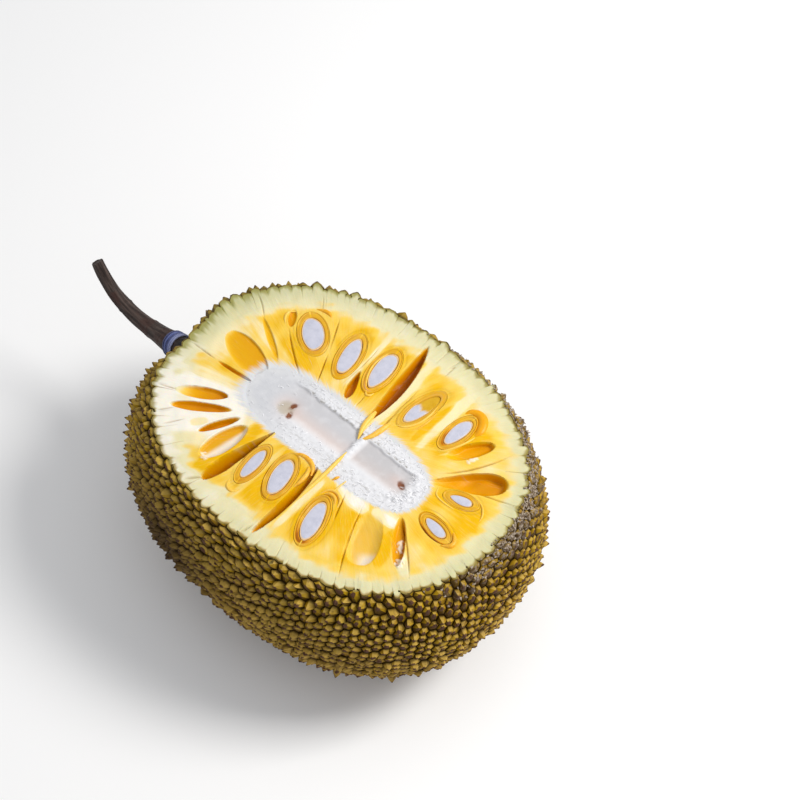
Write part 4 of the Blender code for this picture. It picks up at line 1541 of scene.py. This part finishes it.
def core_relief(x, y, edge):
    """Height of the core in millimetres and its masks. Edge is 0 at the middle line and 1 at the outline."""
    # Two smooth panels, below a ledge that runs along the core.
    ledge = 11.0 - 0.02 * x + 0.9 * ripple(x, 0 * y, 14, 44)
    left = ease(x, -58, -40) * ease(x, 17, 13) * ease(y, ledge + 0.8, ledge - 0.8) * ease(y, -17, -8)
    right = ease(x, 19, 23) * ease(x, 72, 62) * ease(y, ledge - 0.4, ledge - 2.4) * ease(y, -15, -7)
    smooth = np.maximum(left, right)
    # A brown heart at each end, with a pale stain round it.
    halo = np.exp(-(((x + 41) / 11) ** 2 + ((y + 8) / 10) ** 2) * 1.4)
    halo = np.maximum(halo, 0.9 * np.exp(-(((x - 59) / 7) ** 2 + ((y + 2) / 5) ** 2)))
    egg = np.exp(-((np.hypot((x + 43) / 6.5, (y + 9.5) / 6.5)) ** 6))
    mark = np.exp(-(((x + 40) / 2.6) ** 2 + ((y + 4.6 - 0.5 * (x + 40)) / 3.4) ** 2))
    second = np.exp(-(((x + 36.8) / 2.6) ** 2 + ((y + 12.4 + 0.4 * (x + 37)) / 3.2) ** 2))
    third = np.exp(-(((x - 63.6) / 3.6) ** 2 + ((y + 3 + 0.3 * (x - 63)) / 2.6) ** 2))
    mark = np.maximum(np.maximum(mark, 1.2 * second), 1.3 * third)
    # Torn fibre above and below the panels, a clump of it at the right end and a ridge between the panels.
    torn = 4 * ripple(x, y, 16, 48) + 2 * ripple(x, y, 7, 49)
    upper = ease(y, ledge - 1.0, ledge + 2.5) * ease(x + 2 * torn, -70, -36)
    lower = ease(y + 0.6 * torn, -12, -21) * ease(x + 2 * torn, -62, -20)
    clump = ease(x + torn, 60, 73)
    fuzz = np.maximum(np.maximum(0.42 * upper, 0.38 * lower), 1.2 * clump) + 0.06 + 0.03 * torn * lower
    fuzz = np.clip(fuzz, 0, 1.3) * (1 - smooth)
    ridge = np.exp(-(((x - 17.5 - 0.04 * y + 0.25 * torn) / 2.2) ** 2)) * ease(np.abs(y + 1), 22, 6)
    fuzz = np.maximum(fuzz, 0.45 * ridge)
    knobs = 0.45 * ripple(x, y, 5.0, 41) + 0.30 * ripple(x, y, 2.6, 42) + 0.35 * ripple(x, y, 9.0, 43)
    height = 0.30 - 1.5 * smooth + fuzz * (knobs + 0.3 * clump)
    # Dark dashes along the ledge, grey specks beside it, and rays of fibre at the left end.
    step = np.exp(-(((y - ledge - 0.6) / 0.65) ** 2)) * ease(x, -52, -34) * ease(x, 63, 55)
    dash = ease(ripple(x, y, 5.5, 46) + 0.5 * ripple(x, y, 2.4, 47), -0.15, 0.35) * step
    height = height - 0.6 * dash + 1.0 * ridge - 0.7 * mark - 0.4 * egg
    height = height * ease(edge, 1.0, 0.6) - 0.08
    grey = np.exp(-(((y - ledge - 3.5) / 4.5) ** 2)) * ease(x, -56, -38) * ease(x, 66, 56) * 0.8
    grey = np.maximum(grey, 0.75 * np.exp(-(((y + 22.5) / 4.0) ** 2)) * ease(x, -45, -25) * ease(x, 72, 58))
    grey = np.maximum(grey, 0.10 * ease(x, -45, -70)) * (0.7 + 0.4 * ripple(x, y, 12, 50))
    rays = ripple(np.arctan2(y + 5, x + 30) * 24, 0 * x, 5, 51)
    fray = ease(edge, 0.62, 1.0 - 0.12 * rays) * ease(x, -30, -60)
    return height, {"pink": smooth, "halo": halo, "egg": egg, "mark": np.clip(mark, 0, 1.3), "dash": dash,
                    "grey": grey, "fuzz": fuzz, "fray": fray}


def core_piece(material):
    """The core with its detailed cut face and a round underside."""
    angle = np.linspace(-math.pi, math.pi, CORE_COLUMNS, endpoint=False)
    ragged = 0.0005 * np.sin(angle * 17) + 0.0004 * np.sin(angle * 29 + 1) + 0.0002 * np.sin(angle * 61 + 2)
    outline = (core_outline(angle, grow=0.0004)[:, :2] - FACE[:2]) / MM
    outward = outline / np.linalg.norm(outline, axis=1, keepdims=True)
    outline = outline + outward * ragged[:, None] / MM
    middle = outline.copy()
    middle[:, 0] = np.clip(outline[:, 0], -CORE_LINE, CORE_LINE)
    middle[:, 1] = CORE_MIDDLE[1] / MM
    share = np.linspace(0, 1, CORE_ROWS)
    flat = middle + (outline - middle) * share[:, None, None]
    height, masks = core_relief(flat[..., 0], flat[..., 1], share[:, None] * np.ones(CORE_COLUMNS))
    top = np.concatenate([flat, height[..., None]], -1)
    under = [level_ring(middle + (outline - middle) * shrink, depth) for shrink, depth in CORE_UNDERSIDE]
    rings = np.concatenate([top, under])[::-1]
    points, faces = stack_rings(rings, close_last=False)
    masks = carry_masks(masks, height.shape, 0, len(under), flip=True, ends=1)
    mesh = make_mesh(points * MM + FACE, faces, material, masks)
    bm = bmesh.new()
    bm.from_mesh(mesh)
    bmesh.ops.remove_doubles(bm, verts=bm.verts, dist=FLAT)
    bm.to_mesh(mesh)
    bm.free()
    return mesh


def paint_core(material):
    """White fibre, smooth and faintly pink in two panels, with grey specks, dark dashes and brown hearts."""
    tree, shader, place = open_material(material)
    fine = noise(tree, place, 800.0, 5.0)
    soft = noise(tree, place, 130.0, 3.0)
    streak_place = node(tree, "ShaderNodeMapping", {"Vector": place, "Scale": (0.30, 1.0, 1.0)}).outputs[0]
    streak = noise(tree, streak_place, 480.0, 4.0)
    fuzz = mask(tree, "fuzz")
    level = from_middle(tree, place, 1)
    left_end = ramp(tree, from_middle(tree, place, 0), -0.020, -0.056, 0.0, 0.50)
    grain = calc(tree, "MULTIPLY_ADD", streak, 0.6, times(tree, fine, 0.4))
    grain = times(tree, calc(tree, "SUBTRACT", grain, 0.5), fuzz)
    bright = calc(tree, "MULTIPLY_ADD", grain, 0.9, calc(tree, "SUBTRACT", 0.72, left_end))
    white = mix(tree, bright, (0.53, 0.54, 0.57), (0.81, 0.81, 0.83))
    white = mix(tree, mask(tree, "fray"), white, (0.66, 0.665, 0.68))
    pink = mix(tree, ramp(tree, level, 0.004, -0.014), (0.56, 0.555, 0.575), (0.69, 0.59, 0.555))
    right_panel = ramp(tree, from_middle(tree, place, 0), 0.016, 0.022, 0.0, 0.45)
    pink = mix(tree, right_panel, pink, (0.50, 0.48, 0.48))
    body = mix(tree, mask(tree, "pink"), white, pink)
    body = mix(tree, times(tree, mask(tree, "halo"), 0.55), body, (0.66, 0.50, 0.45))
    body = mix(tree, ramp(tree, soft, 0.45, 0.75, 0.0, 0.25), body, (0.78, 0.78, 0.80))
    speck = times(tree, mask(tree, "grey"), ramp(tree, streak, 0.50, 0.62))
    body = mix(tree, times(tree, speck, 0.70), body, (0.40, 0.39, 0.37))
    body = mix(tree, times(tree, mask(tree, "dash"), 0.6), body, (0.22, 0.19, 0.13))
    body = mix(tree, times(tree, mask(tree, "egg"), 0.7), body, (0.42, 0.38, 0.28))
    heart = times(tree, mask(tree, "mark"), ramp(tree, noise(tree, place, 320.0, 4.0), 0.25, 0.6))
    body = mix(tree, ramp(tree, heart, 0.10, 0.75, 0.0, 0.95), body, (0.20, 0.055, 0.012))
    dress(tree, shader, body, ramp(tree, fuzz, 0.0, 0.6, 0.45, 0.8), 0.25)
    soften(shader, 0.2, (0.003, 0.003, 0.003))
    sponge = times(tree, fine, calc(tree, "ADD", fuzz, 0.08))
    bump(tree, shader, sponge, 0.0008, 0.35)


core_material = bpy.data.materials.new("white core")
paint_core(core_material)
core_mesh = core_piece(core_material)
finish_piece(core_mesh, "white_core", ["core"])

# %% [markdown]
# ## Strands and flaps
# The flesh hangs on the core by yellow strands, and the knife left flaps and thick folds of it beside some
# bulbs. Each of them is a line with a thickness that changes along it, and Geometry Nodes turn all lines
# into round cords.

# %% Cords
def smooth_path(points, radii, steps):
    """Points, directions and radii along a smooth curve through the given points."""
    points = np.asarray(points, float)
    ends = np.concatenate([[2 * points[0] - points[1]], points, [2 * points[-1] - points[-2]]])
    at = np.linspace(0, len(points) - 1, steps)
    i = np.minimum(at.astype(int), len(points) - 2)
    t = (at - i)[:, None]
    p0, p1, p2, p3 = ends[i], ends[i + 1], ends[i + 2], ends[i + 3]
    place = 0.5 * (2 * p1 + (p2 - p0) * t + (2 * p0 - 5 * p1 + 4 * p2 - p3) * t**2
                   + (3 * p1 - p0 - 3 * p2 + p3) * t**3)
    heading = np.gradient(place, axis=0)
    heading /= np.linalg.norm(heading, axis=1, keepdims=True)
    return place, heading, np.interp(at, np.arange(len(points)), radii)


def cord_tree():
    """A round cord along each line of a mesh, as thick as the points say."""
    tree, given, result = geometry_tree("cords", {"Sides": "Int", "Cord": "Material"})
    lines = node(tree, "GeometryNodeMeshToCurve", {"Mesh": given["Mesh"]}).outputs[0]
    thick = stored(tree, "thick")
    sized = node(tree, "GeometryNodeSetCurveRadius", {"Curve": lines, "Radius": thick}).outputs[0]
    circle = node(tree, "GeometryNodeCurvePrimitiveCircle", {"Resolution": given["Sides"], "Radius": 1.0})
    feeds = {"Curve": sized, "Profile Curve": circle.outputs[0], "Fill Caps": True, "Scale": thick}
    swept = node(tree, "GeometryNodeCurveToMesh", feeds)
    real = node(tree, "GeometryNodeRealizeInstances", {"Geometry": swept.outputs[0]}).outputs[0]
    dressed = node(tree, "GeometryNodeSetMaterial", {"Geometry": real, "Material": given["Cord"]})
    tree.links.new(dressed.outputs[0], result[0])
    return tree


CORD_TREE = cord_tree()


def cords(lines, material, sides):
    """Mesh of tapered cords: each line is points and radii in millimetres, and a tone from 0 to 1."""
    points, edges, thick, tone = [], [], [], []
    for path, radii, shade in lines:
        first = len(points)
        points += [tuple(p * MM + FACE) for p in np.asarray(path)]
        edges += [(first + i, first + i + 1) for i in range(len(path) - 1)]
        thick += [r * MM for r in np.broadcast_to(radii, len(path))]
        tone += [shade] * len(path)
    mesh = bpy.data.meshes.new("lines")
    mesh.from_pydata(points, edges, [])
    set_mask(mesh, "thick", thick)
    set_mask(mesh, "tone", tone)
    return grow(mesh, CORD_TREE, {"Sides": sides, "Cord": material})


def paint_strand(material):
    """Yellow to orange strands with fine lengthwise streaks."""
    tree, shader, place = open_material(material)
    streak = noise(tree, place, 500.0, 3.0)
    ripe = stray(tree, mask(tree, "tone"), streak, 0.5)
    pale = mix(tree, ramp(tree, ripe, 0.0, 0.45), (0.84, 0.78, 0.62), (0.90, 0.58, 0.10))
    yellow = mix(tree, ramp(tree, ripe, 0.45, 1.0), pale, (0.82, 0.36, 0.0))
    dress(tree, shader, yellow, 0.38, 0.3)
    soften(shader, 0.12, (0.004, 0.002, 0.0008))
    bump(tree, shader, streak, 0.0005, 0.5)


STRAND_STEPS = 28
# Each strand: places in millimetres from the middle of the face, radii and ripeness.
STRANDS = [
    (((8.5, 31, -0.6), (9.3, 25, 0.2), (10.3, 18, 0.5), (11.6, 13, 0.6), (13.2, 9, 0.5), (14.8, 5, 0.0)),
     (1.2, 2.2, 2.3, 1.9, 1.3, 0.4), 0.50),
    (((12, 27, -0.4), (12.3, 21, 0.4), (12.6, 15, 0.5), (13.6, 11, 0.2)), (0.5, 1.1, 1.0, 0.3), 0.30),
    (((23.2, 31, -0.6), (22.8, 25, 0.2), (21.9, 18, 0.5), (20.6, 13, 0.5), (18.6, 8.5, 0.4), (16.8, 5.5,
     0.0)), (1.2, 2.1, 2.2, 1.8, 1.2, 0.4), 0.66),
    (((16.6, -9, 0.6), (16.9, -18, 0.8), (17.2, -28, 0.5), (17.2, -40, 0.2), (16.8, -52, -0.1), (17, -64,
     -0.8)), (0.5, 1.4, 1.6, 1.5, 1.4, 0.7), 0.48),
    (((26.5, -27.5, 0.2), (25.6, -30, 0.5), (24.4, -33, 0.0)), (0.5, 1.2, 0.4), 0.85),
    (((32.5, -27, 0.0), (32, -33, 0.3), (31.4, -40, -0.3)), (0.4, 0.7, 0.5), 0.35),
    (((-86.5, 70.5, -0.6), (-81, 73.2, -0.2), (-76, 73.6, -0.2), (-71.5, 71, -0.8)), (0.6, 1.6, 1.6, 0.5),
     0.85),
    (((-97.5, 59, -0.8), (-100.4, 54.5, -0.2), (-98.6, 48.8, -0.2), (-92.5, 43.6, -0.8)), (0.5, 1.0, 1.1,
     0.5), 0.45),
    (((58.2, 71.5, -1.4), (60.4, 76.6, -1.4), (65.4, 79, -2.0), (71, 77.6, -2.6), (75, 73, -2.9), (76.6, 67,
     -2.2), (75.4, 61.4, -1.2)), (1.0, 2.6, 3.8, 4.6, 4.8, 4.0, 0.9), 1.0),
    (((77, 62, -0.6), (75.4, 55, 0.0), (72.5, 47, 0.0), (68, 39.5, -0.3), (63, 35, -0.8)), (0.5, 0.8, 0.8,
     0.8, 0.4), 0.5),
    (((-12, -34.6, -0.8), (-6, -31.6, -0.6), (1, -31.4, -0.6), (7, -34.2, -0.6), (10.5, -40, -0.8)), (0.7,
     1.7, 2.1, 1.7, 0.7), 0.78),
    (((-31.5, -79, -0.8), (-28, -85.6, -0.2), (-22.4, -86.4, -0.2), (-17.4, -79.6, -0.8)), (0.6, 1.2, 1.2,
     0.5), 0.6),
    (((-9.5, 40.4, -0.5), (-6.8, 37.6, 0.2), (-4.2, 38.6, 0.2), (-3.2, 42.4, -0.4)), (0.5, 0.9, 0.9, 0.4),
     0.6),
    (((-18.5, 78, -0.4), (-20.3, 68, 0.1), (-19.8, 58, 0.1), (-15.6, 48, 0.0), (-9.5, 40.6, -0.4)), (0.3,
     0.7, 0.8, 0.8, 0.4), 0.62),
    (((39.4, 64, -0.4), (40.2, 54, 0.1), (38.4, 43.5, 0.1), (33, 35, 0.0), (27.5, 32.6, -0.4)), (0.3, 0.8,
     0.9, 0.9, 0.4), 0.5),
    (((42, 62, -0.5), (43, 51, 0.0), (41, 40, 0.0), (36, 32.4, -0.5)), (0.3, 0.7, 0.7, 0.3), 0.75),
    (((113, 23, -0.5), (119, 20.4, 0.0), (123.4, 15, 0.0), (124.8, 9, -0.5)), (0.4, 0.8, 0.8, 0.3), 0.62),
    (((84.5, 13, -0.4), (88, 7, 0.0), (97, 5.4, 0.0), (107, 6.6, -0.4)), (0.3, 0.7, 0.7, 0.3), 0.5),
    (((117, -8.5, -0.5), (122, -13, 0.1), (122.5, -18, 0.1), (117, -22, -0.5)), (0.8, 1.9, 1.9, 0.8), 0.8),
    (((28, -44.6, -0.4), (31.4, -42.4, 0.2), (36.4, -42.8, 0.2), (39.6, -47, -0.4)), (0.5, 1.3, 1.3, 0.5),
     0.72),
    (((25.6, -46.5, -0.5), (28.4, -40.6, 0.1), (34, -38.6, 0.1), (40, -41.4, 0.1), (42.4, -47, -0.5)), (0.5,
     1.2, 1.3, 1.2, 0.5), 0.62),
    (((4.4, -35.6, -0.6), (7.6, -41, 0.0), (8.4, -48, 0.0), (7.6, -55, -0.6)), (0.7, 1.8, 1.7, 0.6), 0.72),
]

strand_material = bpy.data.materials.new("strand")
paint_strand(strand_material)
strand_lines = []
for path, radii, tone in STRANDS:
    place, _, thick = smooth_path(path, radii, STRAND_STEPS)
    strand_lines.append((place, thick, tone))
finish_piece(cords(strand_lines, strand_material, sides=14), "flesh_strands", None)

# %% [markdown]
# ## Fluff and dry tips
# The core is cottony where it was torn, and near the cut on the sunny side the spine tips are dry and
# ragged. Both are many small pointed shreds on a surface, so one Geometry Nodes tree scatters them where a
# mask allows.

# %% Shreds
def scatter_tree():
    """Small pointed shreds on a mesh, thicker where a named mask is high."""
    sizes = dict.fromkeys(("Density", "Length", "Width", "Tilt"), "Float")
    inputs = {**sizes, "Seed": "Int", "Where": "String", "Look": "Material"}
    tree, given, result = geometry_tree("shreds", inputs)
    amount = times(tree, stored(tree, given["Where"]), given["Density"])
    feeds = {"Mesh": given["Mesh"], "Density": amount, "Seed": given["Seed"]}
    spots = node(tree, "GeometryNodeDistributePointsOnFaces", feeds)
    chance = node(tree, "FunctionNodeRandomValue", {"Seed": given["Seed"]}, data_type="FLOAT_VECTOR")
    chance.inputs[0].default_value = (-1, -1, -1)
    chance.inputs[1].default_value = (1, 1, 1)
    lean = vector_sum(tree, "SCALE", {0: chance.outputs[0], "Scale": given["Tilt"]})
    heading = vector_sum(tree, "ADD", {0: spots.outputs["Normal"], 1: lean})
    turned = node(tree, "FunctionNodeAlignRotationToVector", {"Vector": heading}, axis="Z")
    feeds = {"Vertices": 4, "Radius Top": 0.0, "Radius Bottom": given["Width"], "Depth": given["Length"]}
    shred = node(tree, "GeometryNodeMeshCone", feeds).outputs[0]
    size = node(tree, "FunctionNodeRandomValue", {2: 0.5, 3: 1.5, "Seed": given["Seed"]}, data_type="FLOAT")
    feeds = {"Points": spots.outputs["Points"], "Instance": shred, "Rotation": turned.outputs[0],
             "Scale": size.outputs[1]}
    placed = node(tree, "GeometryNodeInstanceOnPoints", feeds).outputs[0]
    feeds = {"Geometry": placed, "Name": "tone", "Value": size.outputs[1]}
    toned = node(tree, "GeometryNodeStoreNamedAttribute", feeds, data_type="FLOAT", domain="INSTANCE")
    real = node(tree, "GeometryNodeRealizeInstances", {"Geometry": toned.outputs[0]}).outputs[0]
    dressed = node(tree, "GeometryNodeSetMaterial", {"Geometry": real, "Material": given["Look"]})
    tree.links.new(dressed.outputs[0], result[0])
    return tree


def shred_material(name, dark, light):
    """Plain fibrous shreds between two colours."""
    material = bpy.data.materials.new(name)
    tree, shader, place = open_material(material)
    tone = ramp(tree, mask(tree, "tone"), 0.5, 1.5)
    patchy = calc(tree, "MULTIPLY_ADD", noise(tree, place, 500.0), 0.6, times(tree, tone, 0.5))
    colour = mix(tree, patchy, dark, light)
    dress(tree, shader, colour, 0.8, 0.2)
    bump(tree, shader, noise(tree, place, 1200.0), 0.0003, 0.4)
    return material


SCATTER = scatter_tree()
cotton = shred_material("cotton", (0.80, 0.80, 0.82), (0.92, 0.92, 0.94))
values = {"Density": 3.6e5, "Length": 0.0024, "Width": 0.00024, "Tilt": 2.2, "Seed": 4, "Where": "fuzz",
          "Look": cotton}
finish_piece(grow(core_mesh.copy(), SCATTER, values), "core_fluff", None, smooth=False)
dry_skin = shred_material("dry skin", (0.10, 0.060, 0.038), (0.46, 0.385, 0.305))
values = {"Density": 1.3e5, "Length": 0.0018, "Width": 0.0008, "Tilt": 1.1, "Seed": 6, "Where": "dry_and_sheen",
          "Look": dry_skin}
finish_piece(grow(skin_mesh.copy(), SCATTER, values), "dry_tips", None, smooth=False)


# %% [markdown]
# ## The stalk and its string
# The stalk is a woody rod that comes out of the dimple and curves up. Its bark is cracked lengthwise and
# swells into a dark knee at its root. Rings of points along a smooth path make it, pushed in and out by the
# bark's cracks.

# %% Stalk path
STALK_PATH = ((-128, -13, -15), (-140.5, -12, -20), (-154, -10.5, -27), (-167, -9, -32.5), (-179.5, -8, -36),
              (-195, -7.5, -38.5), (-211, -7, -38), (-223.5, -6.2, -34.5), (-233.5, -5.8, -27.5),
              (-241, -5.4, -17), (-246.5, -5, -6))
STALK_RADII = (9.6, 9.4, 9.2, 9.0, 7.6, 6.5, 6.0, 5.6, 5.2, 4.9, 4.6)
print("stalk from %d to %d mm left of the middle" % (-STALK_PATH[0][0], -STALK_PATH[-1][0]))


def tube_rings(place, heading, radius, sides):
    """Rings of points round a path that doesn't run sideways, with a radius for each ring or each point."""
    across = np.cross(heading, (0, 1, 0))
    across /= np.linalg.norm(across, axis=1, keepdims=True)
    other = np.cross(heading, across)
    turn = np.linspace(0, 2 * math.pi, sides, endpoint=False)
    radius = np.broadcast_to(np.asarray(radius).reshape(len(place), -1), (len(place), sides))[..., None]
    around = across[:, None] * np.cos(turn)[None, :, None] + other[:, None] * np.sin(turn)[None, :, None]
    return place[:, None] + around * radius


# %% Stalk
STALK_STEPS = 220
STALK_SIDES = 56


def stalk_piece(material):
    """The stalk with its lengthwise cracks, swollen knee and slanted cut tip."""
    place, heading, radius = smooth_path(STALK_PATH, STALK_RADII, STALK_STEPS)
    along = np.linspace(0, 1, STALK_STEPS)[:, None]
    turn = np.linspace(0, 2 * math.pi, STALK_SIDES, endpoint=False)[None]
    ridges = 0.16 * np.sin(turn * 7 + 5 * along) + 0.12 * np.sin(turn * 12 - 9 * along)
    ridges = ridges + 0.10 * np.sin(turn * 3 + 31 * along)
    knots = 0.35 * np.exp(-(((along - 0.46) / 0.012) ** 2)) + 0.4 * np.exp(-(((along - 0.66) / 0.010) ** 2))
    crack = np.exp(-(((np.angle(np.exp(1j * (turn - 1.2 - 0.6 * along)))) / 0.10) ** 2))
    crack = crack * ease(along, 0.50, 0.56) * ease(along, 0.97, 0.90)
    surface = radius[:, None] + ridges + knots - 0.8 * crack
    rings = tube_rings(place, heading, surface, STALK_SIDES)
    slant = (rings[-1] - place[-1]) @ np.array([0.8, 0.0, 0.35])
    rings[-1] = rings[-1] + heading[-1] * slant[:, None] * 0.35
    points, faces = stack_rings(rings)
    flat = np.broadcast_to(along, (STALK_STEPS, STALK_SIDES)).ravel()
    cracks = (crack * np.ones((STALK_STEPS, STALK_SIDES))).ravel()
    ends = [0.0, 1.0]
    strand = np.stack([8 * np.cos(turn) * np.ones_like(along), 8 * np.sin(turn) * np.ones_like(along),
                       along * 18 * np.ones_like(turn)], -1).reshape(-1, 3) * MM
    masks = {"along": np.concatenate([flat, ends]), "crack": np.concatenate([cracks, [0, 0]]),
             "strand": np.concatenate([strand, strand[:1], strand[-1:]])}
    return make_mesh(points * MM + FACE, faces, material, masks)


def paint_stalk(material):
    """Grey-brown bark with lighter lengthwise streaks, nearly black at the root."""
    tree, shader, place = open_material(material)
    strand = node(tree, "ShaderNodeAttribute", attribute_name="strand").outputs["Vector"]
    streak = noise(tree, strand, 380.0, 4.0)
    fine = noise(tree, place, 600.0, 4.0)
    bark = mix(tree, ramp(tree, streak, 0.35, 0.7), (0.024, 0.015, 0.012), (0.085, 0.058, 0.048))
    patches = times(tree, blotches(tree, place, 70.0, 0.45, 0.06), 0.5)
    bark = mix(tree, patches, bark, (0.06, 0.022, 0.015))
    bark = mix(tree, times(tree, mask(tree, "crack"), 0.9), bark, (0.015, 0.010, 0.008))
    root = ramp(tree, mask(tree, "along"), 0.22, 0.10)
    colour = mix(tree, root, bark, (0.012, 0.010, 0.010))
    dress(tree, shader, colour, ramp(tree, fine, 0.3, 0.7, 0.55, 0.8), 0.3)
    grain = calc(tree, "ADD", times(tree, streak, 0.7), times(tree, fine, 0.3))
    bump(tree, shader, grain, 0.0015, 0.7)


stalk_material = bpy.data.materials.new("bark")
paint_stalk(stalk_material)
finish_piece(stalk_piece(stalk_material), "bark_stalk", ["stalk"])

# %% [markdown]
# The string is wound close round the stalk in several turns, with blues from pale to navy. The same cords
# as for the flesh serve here.

# %% String
def paint_string(material):
    """Twisted blue yarn, paler on some turns."""
    tree, shader, place = open_material(material)
    tone = mask(tree, "tone")
    fine = noise(tree, place, 1500.0, 3.0)
    blue = mix(tree, ramp(tree, tone, 0.0, 0.5), (0.010, 0.014, 0.09), (0.06, 0.10, 0.36))
    blue = mix(tree, ramp(tree, tone, 0.5, 1.0), blue, (0.42, 0.46, 0.72))
    blue = mix(tree, times(tree, fine, 0.5), blue, (0.12, 0.14, 0.30))
    dress(tree, shader, blue, 0.85, 0.5)
    shader.inputs["Sheen Weight"].default_value = 0.3
    twist = node(tree, "ShaderNodeTexWave", {"Vector": place, "Scale": 500.0}).outputs[1]
    bump(tree, shader, twist, 0.0004, 0.6)


# Where the string starts and ends, counted in points of the stalk's path, and how pale each of its turns is.
TIE_SPAN = (1.85, 2.6)
TURN_TONES = (0.95, 0.8, 0.35, 0.15, 0.6, 0.3, 0.05)
TURN_STEPS = 41
TURN_SIDES = 64
STEPS_PER_POINT = 40


def string_lines():
    """Turns of the string wound round the stalk, each a little out of line."""
    at = np.linspace(TIE_SPAN[0] + 0.06, TIE_SPAN[1] - 0.06, len(TURN_TONES))
    rng = np.random.default_rng(9)
    last = STEPS_PER_POINT * (len(STALK_PATH) - 1)
    place, heading, radius = smooth_path(STALK_PATH, STALK_RADII, last + 1)
    turn = np.linspace(0, 2 * math.pi, TURN_STEPS)
    column = (turn / (2 * math.pi) * TURN_SIDES).astype(int) % TURN_SIDES
    lines = []
    for middle, tone in zip(at, TURN_TONES):
        tilt = rng.uniform(-0.06, 0.06)
        index = np.clip(((middle + tilt * np.cos(turn)) * STEPS_PER_POINT).astype(int), 0, last)
        rings = tube_rings(place[index], heading[index], radius[index] + 0.9, TURN_SIDES)
        lines.append((rings[np.arange(TURN_STEPS), column], rng.uniform(0.75, 1.0), tone))
    return lines


string_material = bpy.data.materials.new("blue string")
paint_string(string_material)
finish_piece(cords(string_lines(), string_material, sides=8), "wound_string", ["tie"])
